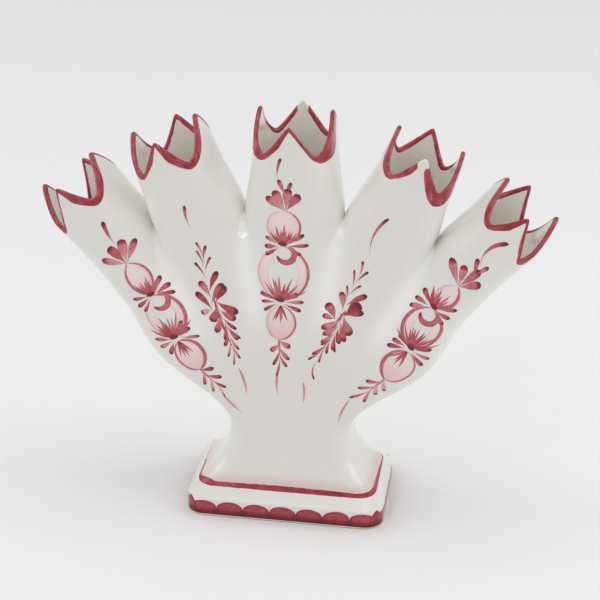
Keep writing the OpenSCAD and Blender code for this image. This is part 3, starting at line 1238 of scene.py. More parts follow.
@dataclass
class Finger:
    """One finger: a lofted tube that ends in a zigzag mouth, with a painted rim."""

    plan: FanPlan
    mesher: Mesher
    index: int
    name: str
    rim: tuple[float, ...]
    valleys: tuple[float, ...]
    bare_points: tuple[int, ...] = ()
    bare_span: Point = (1.5, 5.0)
    bare_depth: float = -1.6
    inner_rim: float = 1.0
    point_band: float = 0.6
    tip_share: float = 0.35
    lip_swell: float = 0.6
    band_drop: float = 18.0
    run_apart: float = 40.0
    # Pooled glaze and painted shade, growing deeper down inside the mouth
    pool_and_shade_range: Point = (0.2, 0.7)
    pool_and_shade_span: Point = (4.0, 40.0)
    pool_and_shade_above: float = 8.0
    # Painted light in the grooves and round the crotches: its strength, width, start and end
    groove_light_gain: float = 0.85
    groove_width: float = 5.5
    groove_rise: float = 24.0
    groove_past: float = 4.0

    def columns(self) -> list[tuple[int, int, Array]]:
        """Side, face and places of the quarters, anticlockwise seen down the mouth, without their ends."""
        w = self.mesher.quarter()
        return [(1, 1, w[:-1]), (-1, 1, w[::-1][:-1]), (-1, -1, w[:-1]), (1, -1, w[::-1][:-1])]

    def joined_columns(self) -> list[tuple[int, slice, Array]]:
        """The quarters that have a neighbour beside them.

        Returns:
            Side, column numbers and places of each.
        """
        found, start = [], 0
        for side, _, w in self.columns():
            if self.plan.joined(self.index, side):
                found.append((side, slice(start, start + len(w)), w))
            start += len(w)
        return found

    def ring(self, reach: Array, inset: Array | float, lift: Array) -> Outline:
        """Whole outlines of the finger.

        Args:
            reach: nominal reach of each row.
            inset: how far it is set in.
            lift: share of the crown that is drawn up.

        Returns:
            The outlines.
        """
        quarters = [self.plan.outline(self.index, side, face, w[None, :], reach[:, None], (inset, inset),
                                      lift[:, None]) for side, face, w in self.columns()]
        return Outline.stacked(quarters, 1)

    def shaft(self, rows: int) -> tuple[Array, Array]:
        """Reaches of the plain shaft, close together under the crotches.

        Args:
            rows: about how many.

        Returns:
            The reaches, and as many zero lifts.
        """
        plan = self.plan
        even = np.linspace(plan.seat_reach, plan.crown_base(), rows)
        near = [fork - np.array(self.mesher.crotch_steps) for fork in set(plan.crotches)]
        reach = np.unique(np.round(np.concatenate([even, *near]), 3))[:-1]
        return reach, np.zeros_like(reach)

    def crown(self) -> tuple[Array, Array]:
        """Reaches and lifts of the crown, close together towards the rim."""
        lift = 1.0 - (1.0 - np.linspace(0.0, 1.0, self.mesher.crown_rows)) ** self.mesher.crown_crowding
        return mix(self.plan.crown_base(), self.plan.valley_reach, lift), lift

    def rim_width(self) -> Array:
        """Width of the painted band under the rim, for each column.

        Returns:
            Widths, thick along each edge of the zigzag and thin at its points.
        """
        widths = []
        for n, (_, _, w) in enumerate(self.columns()):
            first, second = self.rim[2 * n], self.rim[2 * n + 1]
            side_edge, face_edge = (second, first) if n % 2 else (first, second)
            tip = max(self.point_band, self.tip_share * side_edge)
            bands = (tip, side_edge, self.valleys[n], face_edge, self.point_band)
            widths.append(np.interp(w, np.linspace(0.0, 2.0, len(bands)), bands))
        return np.concatenate(widths)

    def skin(self) -> Skin:
        """Build the finger's skin.

        Returns:
            The skin, with its marks.
        """
        plan, mesher, crown = self.plan, self.mesher, self.crown()
        reach, lift = (np.concatenate(pair) for pair in zip(self.shaft(mesher.shaft_rows), crown))
        outer = self.ring(reach, 0.0, lift)
        lips = [self.ring(np.array([plan.valley_reach + plan.lip_round * math.sin(a)]),
                          plan.rim_wall / 2 * (1.0 - math.cos(a)), np.ones(1))
                for a in np.linspace(0.0, math.pi, mesher.lip_rows + 2)[1:-1]]
        reach, lift = (np.concatenate(pair)[::-1] for pair in zip(self.shaft(mesher.inner_rows), crown))
        inner = self.ring(reach, mix(plan.wall, plan.rim_wall, lift)[:, None], lift)
        whole = Outline.stacked([outer, *lips, inner], 0)
        edge = len(outer.points) - 1
        marks = self.marks(whole, edge, edge + 1 + len(lips))
        return Skin(self.name, whole.points, self.hidden(whole.level), marks)

    def hidden(self, level: Array) -> Array:
        """Patches that lie against a neighbour or the trunk.

        Args:
            level: true reach of the points.

        Returns:
            True for each such patch.
        """
        hidden = np.zeros(level.shape, bool)
        hidden[-1] = True
        low = len(self.shaft(self.mesher.shaft_rows)[0])
        for side, span, w in self.joined_columns():
            beside = np.append(w[1:], 2.0 - w[0])
            flat = (w <= 1.0) & (beside <= 1.0)
            below = level[1:low + 1, span] <= self.plan.crotch(self.index, side) + NEAR
            hidden[:low, span] |= below & flat
        return hidden

    def marks(self, whole: Outline, edge: int, back_edge: int) -> dict[Mark, Array]:
        """Marks for the glaze.

        Args:
            whole: all points of the skin.
            edge: row of the rim's outer edge.
            back_edge: row of its inner edge.

        Returns:
            The marks.
        """
        rows, inside_from = whole.points, back_edge + 1
        count = rows.shape[1]
        step = np.linalg.norm(np.roll(rows[edge], -1, 0) - rows[edge], axis=-1)
        run = np.concatenate([[0.0], np.cumsum(step)[:-1]])
        total = step.sum()
        width, inside = self.rim_width(), np.full(count, self.inner_rim)
        for point in self.bare_points:
            apart = abs((run - run[point * count // QUARTERS] + total / 2) % total - total / 2)
            gone = 1.0 - ease(*self.bare_span, apart)
            width, inside = mix(width, self.bare_depth, gone), mix(inside, self.bare_depth, gone)
        band = np.empty(rows.shape[:2])
        band[:edge + 1] = self.depth_in_band(rows[:edge + 1], rows[edge], width)
        t = np.linspace(0.0, 1.0, back_edge - edge + 1)[:, None]
        swell = np.sin(math.pi * t) * self.lip_swell * (width > 0.0)
        band[edge:inside_from] = mix(width, inside, t) + swell
        band[inside_from:] = self.depth_in_band(rows[inside_from:], rows[back_edge], inside)
        folded = np.minimum(run, total - run) + self.run_apart * self.index
        # Pooled glaze and painted shade, growing with depth below the rim
        depth = self.plan.valley_reach + self.pool_and_shade_above - whole.level[inside_from:]
        pool = np.zeros(rows.shape[:2])
        pool[inside_from:] = mix(*self.pool_and_shade_range, ease(*self.pool_and_shade_span, depth))
        return {Mark.BAND: band, Mark.RUN: np.broadcast_to(folded, band.shape), Mark.POOL: pool,
                Mark.GROOVE: self.painted_groove_light(whole)}

    def depth_in_band(self, rows: Array, line: Array, width: Array) -> Array:
        """How far points lie inside a band that runs along a closed line.

        Args:
            rows: the points.
            line: points of the line.
            width: the band's width at each.

        Returns:
            The depths, negative outside the band and UNPAINTED far below.
        """
        t = np.linspace(0.0, 1.0, self.mesher.band_steps + 1)[:-1, None]
        fine = mix(line, np.roll(line, -1, 0), t[..., None]).reshape(-1, 3)
        wide = mix(width, np.roll(width, -1), t).reshape(-1)
        depth = np.full(rows.shape[:2], UNPAINTED)
        near = rows[..., 2] > line[:, 2].min() - self.band_drop
        chunks = np.array_split(rows[near], max(1, near.sum() // self.mesher.band_chunk))
        depth[near] = np.concatenate([(wide - np.linalg.norm(chunk[:, None] - fine, axis=-1)).max(1)
                                      for chunk in chunks])
        return depth

    def painted_groove_light(self, whole: Outline) -> Array:
        """How much painted light whitens the glaze in the grooves and round the crotches, where shade falls.

        Args:
            whole: all points of the skin.

        Returns:
            Amounts from 0 to 1.
        """
        plan = self.plan
        amount = np.zeros(whole.level.shape)
        for side, span, _ in self.joined_columns():
            reach = whole.level[:, span]
            off = (1.0 - whole.share[:, span]) * plan.side_half(self.index, side, reach)
            begun = ease(plan.seat_reach, plan.seat_reach + self.groove_rise, reach)
            ended = ease(plan.crotch(self.index, side) + self.groove_past, plan.valley_reach, reach)
            # Painted light, strongest in the middle of each groove
            hollow = self.groove_light_gain * np.exp(-(off / self.groove_width) ** 2)
            amount[:, span] = hollow * begun * (1.0 - ended)
        return amount


@dataclass
class Trunk:
    """The hollow waisted trunk, from the step line up to the seat of the fingers."""

    plan: FanPlan
    mesher: Mesher
    name: str = "trunk"
    step_height: float = 12.2
    step_width: float = 77.6
    step_depth: float = 43.2
    step_corner: float = 8.0
    waist_height: float = 37.5
    waist_width: float = 52.0
    waist_depth: float = 32.0
    waist_corner: float = 9.0
    cove_power: float = 2.4
    waist_run: float = 26.0
    fan_run: float = 15.0
    line_front: float = 2.2
    line_back: float = 0.6
    line_left: float = 0.2
    line_turn: Point = (0.72, 0.98)
    line_blob: float = 1.4
    blob_inset: float = 2.0
    blob_width: float = 4.0
    run_apart: float = 7.0
    wash_height: float = 8.5
    wash_fade: float = 6.0
    wash_amount: Point = (0.4, 0.5)
    # Pooled glaze and painted shade all over the inside
    inner_pool_and_shade: float = 0.8

    def seat(self, reach: float, inset: float) -> Array:
        """Outline of the trunk where the fingers begin: right end, back, left end, front.

        Args:
            reach: distance from the fan point.
            inset: how far it is set in.

        Returns:
            The points.
        """
        whole = self.mesher.quarter()
        face_part = whole[self.mesher.side_steps:]
        order = range(len(self.plan.leans))
        loops = []
        turns = [(k, side, face) for face in (1, -1) for k in order[::-face] for side in (face, -face)]
        for k, side, face in turns:
            joined = self.plan.joined(k, side)
            if side == face:
                places = face_part[1:] if joined else whole
            else:
                places = face_part[::-1][1:] if joined else whole[::-1][1:-1]
            insets = (0.0 if joined else inset, inset)
            loops.append(self.plan.outline(k, side, face, places, reach, insets, 0.0).points)
        return np.concatenate(loops)

    def cove(self, ways: Array, t: float, inset: float) -> Array:
        """Outline of the cove.

        Args:
            ways: directions of the points.
            t: 0 at the step line, 1 at the waist.
            inset: how far it is set in.

        Returns:
            The points.
        """
        opened = (1.0 - t) ** self.cove_power
        half_w = mix(self.waist_width, self.step_width, opened) / 2
        half_d = mix(self.waist_depth, self.step_depth, opened) / 2
        corner = mix(self.waist_corner, self.step_corner, opened) - inset
        x, y = abs(ways[:, 0] * half_w), abs(ways[:, 1] * half_d)
        run = np.hypot(x, y)
        half_w, half_d = half_w - inset, half_d - inset
        by_side = x * half_d >= y * half_w
        px = np.where(by_side, half_w, half_d * x / np.maximum(y, TINY))
        py = np.where(by_side, half_w * y / np.maximum(x, TINY), half_d)
        cx, cy = half_w - corner, half_d - corner
        along = (cx * x + cy * y) / run
        far = along + np.sqrt(np.maximum(0.0, along ** 2 - cx ** 2 - cy ** 2 + corner ** 2))
        plain = (px <= cx) | (py <= cy)
        px, py = np.where(plain, px, far * x / run), np.where(plain, py, far * y / run)
        z = np.full_like(px, mix(self.step_height, self.waist_height, t))
        return np.stack([np.sign(ways[:, 0]) * px, np.sign(ways[:, 1]) * py, z], -1)

    def side_rows(self, cove_rows: int, turn_rows: int, inset: float) -> Array:
        """Rows up one side of the wall.

        Args:
            cove_rows: rows of the cove.
            turn_rows: rows of the turn into the fan.
            inset: how far it is set in.

        Returns:
            The rows, from the step line to the seat.
        """
        seat = self.seat(self.plan.seat_reach, 0.0)
        ways = np.stack([seat[:, 0] / seat[:, 0].max(), 2.0 * seat[:, 1] / self.plan.seat_depth], -1)
        low, high = self.cove(ways, 1.0, inset), self.seat(self.plan.seat_reach, inset)
        past = self.seat(self.plan.seat_reach + 1.0, inset)
        climbs = np.linspace(0.0, 1.0, cove_rows + 1) ** self.mesher.cove_crowding
        rows = [self.cove(ways, t, inset) for t in climbs]
        for t in np.linspace(0.0, 1.0, turn_rows + 1)[1:]:
            u = 1.0 - t
            bend = u * np.array([0.0, 0.0, self.waist_run]) - t * self.fan_run * (past - high)
            rows.append(u * u * (1.0 + 2.0 * t) * low + t * t * (1.0 + 2.0 * u) * high + t * u * bend)
        return np.array(rows)

    def skin(self) -> Skin:
        """Build the trunk's skin.

        Returns:
            The skin, with its marks.
        """
        mesher = self.mesher
        outer = self.side_rows(mesher.cove_rows, mesher.turn_rows, 0.0)
        inner = self.side_rows(mesher.inner_cove_rows, mesher.inner_turn_rows, self.plan.wall)[::-1]
        rows = np.concatenate([outer, inner])
        hidden = np.zeros(rows.shape[:2], bool)
        hidden[[len(outer) - 1, -1]] = True
        return Skin(self.name, rows, hidden, self.marks(rows, len(outer)))

    def marks(self, rows: Array, outer: int) -> dict[Mark, Array]:
        """Marks for the glaze: the step line, the wash above it and the pooled inside with its painted
        shade.

        Args:
            rows: points.
            outer: how many rows lie outside.

        Returns:
            The marks.
        """
        x, y, _ = rows[0].T
        half_depth = self.step_depth / 2
        climb = np.linalg.norm(np.diff(rows[:outer], axis=0), axis=-1)
        height = np.concatenate([np.zeros((1, len(x))), np.cumsum(climb, 0)])
        front = ease(*self.line_turn, abs(y) / half_depth)
        side_line = mix(self.line_front, self.line_back, ease(-half_depth, half_depth, y))
        side_line = side_line * np.where(x < 0.0, self.line_left, 1.0)
        left_end = np.exp(-((x + self.step_width / 2 - self.blob_inset) / self.blob_width) ** 2) * (y < 0.0)
        band = np.full(rows.shape[:2], UNPAINTED)
        band[:outer] = mix(side_line, self.line_front, front) + self.line_blob * left_end - height
        blush, pool = np.zeros(band.shape), np.zeros(band.shape)
        faded = ease(self.wash_height - self.wash_fade, self.wash_height, height)
        blush[:outer] = mix(*self.wash_amount, front) * (1.0 - faded)
        pool[outer:] = self.inner_pool_and_shade
        run = np.broadcast_to(x + np.sign(y) * self.run_apart, band.shape)
        return {Mark.BAND: band, Mark.RUN: run, Mark.BLUSH: blush, Mark.POOL: pool}


@dataclass
class Plinth:
    """The stepped foot, with an upright painted face and a sloping ledge."""

    plan: FanPlan
    mesher: Mesher
    trunk: Trunk
    name: str = "plinth"
    base_width: float = 85.0
    base_depth: float = 54.0
    base_corner: float = 8.0
    face_height: float = 8.5
    foot_round: float = 0.8
    line_on_ledge: float = 0.5
    line_at_ends: float = 0.4
    line_turn: Point = (0.6, 0.97)
    bare_height: float = 0.55

    def loop(self, width: float, depth: float, corner: float, inset: float, z: float) -> Array:
        """A rounded rectangle with evenly divided sides, anticlockwise from the right end.

        Args:
            width: width.
            depth: depth.
            corner: corner radius.
            inset: how far the outline is set in.
            z: height.

        Returns:
            The points.
        """
        radius = corner - inset
        points = []
        for turn, (sx, sy) in enumerate(((1, 1), (-1, 1), (-1, -1), (1, -1))):
            angle = np.radians(90.0 * (turn + np.linspace(0.0, 1.0, self.mesher.corner_steps)))
            points.append(np.stack([sx * (width / 2 - inset - radius) + radius * np.cos(angle),
                                    sy * (depth / 2 - inset - radius) + radius * np.sin(angle)], -1))
        closed = []
        for here, there in zip(points, points[1:] + points[:1]):
            t = np.linspace(0.0, 1.0, self.mesher.edge_steps + 1)[1:-1, None]
            closed += [here, mix(here[-1], there[0], t)]
        flat = np.concatenate(closed)
        return np.column_stack([flat, np.full(len(flat), z)])

    def base(self, inset: float, z: float) -> Array:
        """Outline of the foot, set in, at a height."""
        return self.loop(self.base_width, self.base_depth, self.base_corner, inset, z)

    def step(self, inset: float, z: float) -> Array:
        """Outline of the step line, set in, at a height."""
        trunk = self.trunk
        return self.loop(trunk.step_width, trunk.step_depth, trunk.step_corner, inset, z)

    def skin(self) -> Skin:
        """Build the plinth's skin.

        Returns:
            The skin, with its marks.
        """
        mesher, r, top = self.mesher, self.foot_round, self.trunk.step_height
        fold = np.linspace(0.0, math.pi / 2, mesher.fold_rows)
        rows = [self.base(r * (1.0 - math.sin(a)), r * (1.0 - math.cos(a))) for a in fold]
        rows += [self.base(0.0, z) for z in np.linspace(r, self.face_height - r, mesher.face_rows)[1:-1]]
        rows += [self.base(r * (1.0 - math.cos(a)), self.face_height - r + r * math.sin(a)) for a in fold]
        rows += [mix(self.base(r, self.face_height), self.step(0.0, top), t)
                 for t in np.linspace(0.0, 1.0, mesher.ledge_rows + 1)[1:]]
        outer = len(rows)
        rows = np.array([*rows, self.step(self.plan.wall, top), self.step(self.plan.wall, 0.0)])
        hidden = np.zeros(rows.shape[:2], bool)
        hidden[outer - 1:] = True
        return Skin(self.name, rows, hidden, self.marks(rows, outer))

    def marks(self, rows: Array, outer: int) -> dict[Mark, Array]:
        """Marks for the glaze: the step line and the bare foot.

        Args:
            rows: points.
            outer: how many rows lie outside.

        Returns:
            The marks.
        """
        line = rows[outer - 1]
        x, y, _ = line.T
        front = ease(*self.line_turn, abs(y) / (self.trunk.step_depth / 2))
        below = np.linalg.norm(rows - line, axis=-1)
        band = self.line_on_ledge * mix(self.line_at_ends, 1.0, front) - below
        band[outer:] = UNPAINTED
        bare = 1.0 - ease(0.0, 2.0 * self.bare_height, rows[..., 2])
        bare[outer:] = 1.0
        run = np.broadcast_to(x + np.sign(y) * self.trunk.run_apart, band.shape)
        return {Mark.BAND: band, Mark.RUN: run, Mark.BARE: bare}


@dataclass
class BaseSlab:
    """The flat slab of bare clay that closes the foot."""

    plinth: Plinth
    name: str = "base_slab"
    thickness: float = 4.0
    clearance: float = 0.1
    edge_round: float = 0.35
    edge_segments: int = 2

    def build(self, clay: Material) -> Object:
        """Make the slab.

        Args:
            clay: its finish.

        Returns:
            The object.
        """
        outline = self.plinth.step(self.plinth.plan.wall + self.clearance, 0.0) * METRE
        rounding = self.edge_round * METRE
        shape = bmesh.new()
        face = shape.faces.new([shape.verts.new(p) for p in outline])
        grown = bmesh.ops.extrude_face_region(shape, geom=[face])["geom"]
        lifted = [v for v in grown if isinstance(v, bmesh.types.BMVert)]
        bmesh.ops.translate(shape, verts=lifted, vec=(0.0, 0.0, self.thickness * METRE))
        bmesh.ops.recalc_face_normals(shape, faces=shape.faces)
        rims = [e for e in shape.edges if abs(e.verts[0].co.z - e.verts[1].co.z) < rounding]
        bmesh.ops.bevel(shape, geom=rims, offset=rounding, segments=self.edge_segments, affect="EDGES",
                        profile=0.5)
        mesh = bpy.data.meshes.new("clay_" + self.name)
        shape.to_mesh(mesh)
        shape.free()
        mesh.materials.append(clay)
        return linked(mesh.name, mesh)


class PaintTree:
    """A Geometry Nodes tree that lays painted shapes on a surface."""

    COLUMNS: int
    ROWS: int
    RAY_LENGTH = 0.5

    def __init__(self, name: str, sizes: dict[str, float]) -> None:
        """Start the tree.

        Args:
            name: its name.
            sizes: named number inputs with their values.
        """
        inputs = {"Geometry": ("NodeSocketGeometry",), "Surface": ("NodeSocketObject",),
                  "Finish": ("NodeSocketMaterial",)}
        inputs.update({label: ("NodeSocketFloat", value) for label, value in sizes.items()})
        self.wiring = Wiring.group(name, "GeometryNodeTree", inputs, {"Geometry": "NodeSocketGeometry"})
        self.sizes = sizes

    def stored(self, name: str, kind: str = "FLOAT_VECTOR") -> NodeSocket:
        """An attribute of the points."""
        return self.wiring.result("GeometryNodeInputNamedAttribute", {"Name": name}, data_type=kind)

    def store(self, geometry: object, name: str, value: object, kind: str) -> NodeSocket:
        """The geometry with an attribute of that name, value and type on its points."""
        sockets = {"Geometry": geometry, "Name": name, "Value": value}
        return self.wiring.result("GeometryNodeStoreNamedAttribute", sockets, data_type=kind, domain="POINT")

    def patches(self, points: object) -> NodeSocket:
        """Flat patches, from 0 to 1 in x and -1 to 1 in y, that remember their places.

        Args:
            points: one for each patch.

        Returns:
            The patches, realized.
        """
        wiring = self.wiring
        sizes = {"Size X": 1.0, "Size Y": 2.0, "Vertices X": self.COLUMNS, "Vertices Y": self.ROWS}
        grid = wiring.result("GeometryNodeMeshGrid", sizes)
        x, y, _ = wiring.parts(wiring.result("GeometryNodeInputPosition"))
        patch = self.store(grid, "place", wiring.vector(x + 0.5, y, 0.0), "FLOAT_VECTOR")
        placed = wiring.result("GeometryNodeInstanceOnPoints", {"Points": points, "Instance": patch})
        return wiring.result("GeometryNodeRealizeInstances", {0: placed})

    def finish(self, geometry: object, source: object, aim: object, lift: Term, pigment: Term,
               stroke: object, drop: tuple[str, ...]) -> None:
        """Lay the points on the surface and end the tree.

        Args:
            geometry: realized patches.
            source: where each point is sent from.
            aim: the direction it is sent in.
            lift: how far it stands off, in metres.
            pigment: load of pigment at each point.
            stroke: place within the stroke.
            drop: attributes that aren't kept.
        """
        wiring = self.wiring
        target = wiring.add("GeometryNodeObjectInfo", {"Object": wiring.given("Surface")},
                            transform_space="RELATIVE")
        ray = wiring.add("GeometryNodeRaycast", {
            "Target Geometry": target.outputs["Geometry"], "Source Position": source,
            "Ray Direction": aim, "Ray Length": self.RAY_LENGTH})
        normal, spot = ray.outputs["Hit Normal"], ray.outputs["Hit Position"]
        off = wiring.result("ShaderNodeVectorMath", {0: normal, "Scale": lift}, operation="SCALE")
        spot = wiring.result("ShaderNodeVectorMath", {0: spot, 1: off}, operation="ADD")
        laid = self.store(geometry, Mark.PIGMENT.value, pigment, "FLOAT")
        laid = self.store(laid, Mark.STROKE.value, stroke, "FLOAT_VECTOR")
        laid = self.store(laid, "landed", ray.outputs["Is Hit"], "BOOLEAN")
        laid = wiring.result("GeometryNodeSetPosition", {"Geometry": laid, "Position": spot})
        landed = self.stored("landed", "BOOLEAN")
        missed = wiring.result("FunctionNodeBooleanMath", {0: landed}, operation="NOT")
        laid = wiring.result("GeometryNodeDeleteGeometry", {"Geometry": laid, "Selection": missed})
        for name in (*drop, "place", "landed"):
            laid = wiring.result("GeometryNodeRemoveAttribute", {"Geometry": laid, "Name": name})
        laid = wiring.result("GeometryNodeSetShadeSmooth", {"Geometry": laid})
        dressed = {"Geometry": laid, "Material": wiring.given("Finish")}
        wiring.give("Geometry", wiring.result("GeometryNodeSetMaterial", dressed))

    def apply(self, carrier: Object, surface: Object, finish: Material) -> Object:
        """Run the tree on an object and make the result its plain mesh.

        Args:
            carrier: the object.
            surface: what is painted.
            finish: the paint.

        Returns:
            The same object.
        """
        tree = self.wiring.tree
        modifier = carrier.modifiers.new(tree.name, "NODES")
        modifier.node_group = tree
        values = {"Surface": surface, "Finish": finish, **self.sizes}
        for item in tree.interface.items_tree:
            if item.in_out == "INPUT" and item.name in values:
                modifier[item.identifier] = values[item.name]
        bpy.context.view_layer.update()
        graph = bpy.context.evaluated_depsgraph_get()
        mesh = bpy.data.meshes.new_from_object(carrier.evaluated_get(graph), preserve_all_data_layers=True,
                                               depsgraph=graph)
        carrier.modifiers.remove(modifier)
        before = carrier.data
        carrier.data = mesh
        bpy.data.meshes.remove(before)
        mesh.name = carrier.name
        return carrier


class BrushTree(PaintTree):
    """Brush marks: each point of the carrier becomes one mark that follows the glaze."""

    COLUMNS = 21
    ROWS = 9
    CARRIED = ("root", "aim", "body", "ink", "base")
    SEED_PITCH = (3.7, 1.3, 80.0)
    RISE_GAIN = 4.0
    RISE_DROP = 1.4
    LEAST_RISE = 0.6
    LEAST_WIDTH = 0.05
    WOBBLE_PITCH = (0.45, 0.8)
    EDGE_LOAD = 0.06
    START_Y = -0.1

    def __init__(self, plan: FanPlan) -> None:
        """Build the tree.

        Args:
            plan: the fan that the marks lie on.
        """
        sizes = {"Fan Height": plan.fan_height, "Paint Body": 0.8, "Wobble": 0.4, "Seed": 4.0}
        super().__init__("brush_marks", sizes)
        wiring = self.wiring
        marks = self.patches(wiring.given("Geometry"))
        u, v, _ = wiring.parts(self.stored("place"))
        across, reach, lean = wiring.parts(self.stored("root"))
        heading, length, bow = wiring.parts(self.stored("aim"))
        width, belly, tip = wiring.parts(self.stored("body"))
        tone, head, head_from = wiring.parts(self.stored("ink"))
        gathered, root_to, coat = wiring.parts(self.stored("base"))
        by_across, by_reach, by_lean = self.SEED_PITCH
        seed = across * by_across + reach * by_reach + lean * by_lean + wiring.given("Seed")
        ripple = wiring.vector(length * u * self.WOBBLE_PITCH[0], v * self.WOBBLE_PITCH[1], seed)
        wobble = wiring.noise(ripple, 1.0) * wiring.given("Wobble") + 1.0
        half = width * 0.5 * self.swell(u, belly, tip) * wobble
        ahead, aside = self.bent(u, v * half, length, bow)
        sine, cosine = heading.math("SINE"), heading.math("COSINE")
        s = across + ahead * sine + aside * cosine
        r = reach + ahead * cosine - aside * sine
        lean_s, lean_c = lean.math("SINE"), lean.math("COSINE")
        x = (r * lean_s + s * lean_c) * METRE
        z = (wiring.given("Fan Height") + r * lean_c - s * lean_s) * METRE
        lift = coat * (wiring.given("Paint Body") * (v * v).flip() + 1.0) * METRE
        ends = head * u.ramp(head_from, 1.0) + gathered * u.ramp(0.0, root_to).flip()
        load = tone + ends + v * v * v * v * self.EDGE_LOAD
        self.finish(marks, wiring.vector(x, self.START_Y, z), (0.0, 1.0, 0.0), lift, load,
                    wiring.vector(length * u, v * half, seed), self.CARRIED)

    def swell(self, u: Term, belly: Term, tip: Term) -> Term:
        """Width along a mark as a share of its greatest.

        Args:
            u: place along the mark.
            belly: where it is widest.
            tip: how bluntly it closes.

        Returns:
            The share.
        """
        late = (belly * self.RISE_GAIN - self.RISE_DROP).math("MAXIMUM", self.LEAST_RISE)
        rise = ((u / belly).math("MINIMUM", 1.0) * (math.pi / 2)).math("SINE").math("POWER", late)
        past = ((u - belly) / belly.flip()).positive()
        close = (past * past).flip().positive().math("POWER", tip)
        return rise * close * (1.0 - self.LEAST_WIDTH) + self.LEAST_WIDTH

    @staticmethod
    def bent(u: Term, off: Term, length: Term, bow: Term) -> tuple[Term, Term]:
        """Place on a mark that bends along an arc.

        Args:
            u: place along the mark.
            off: distance from its middle line.
            length: its length from end to end.
            bow: how far its middle stands aside.

        Returns:
            Distances ahead of its start and aside of it.
        """
        bend = (bow * 2.0 / length).math("ARCTANGENT") * 2.0
        radius = length * 0.5 / bend.math("SINE")
        turn = bend * (u * 2.0 - 1.0)
        outward = radius + off
        ahead = length * 0.5 + outward * turn.math("SINE")
        return ahead, outward * turn.math("COSINE") - radius * bend.math("COSINE")


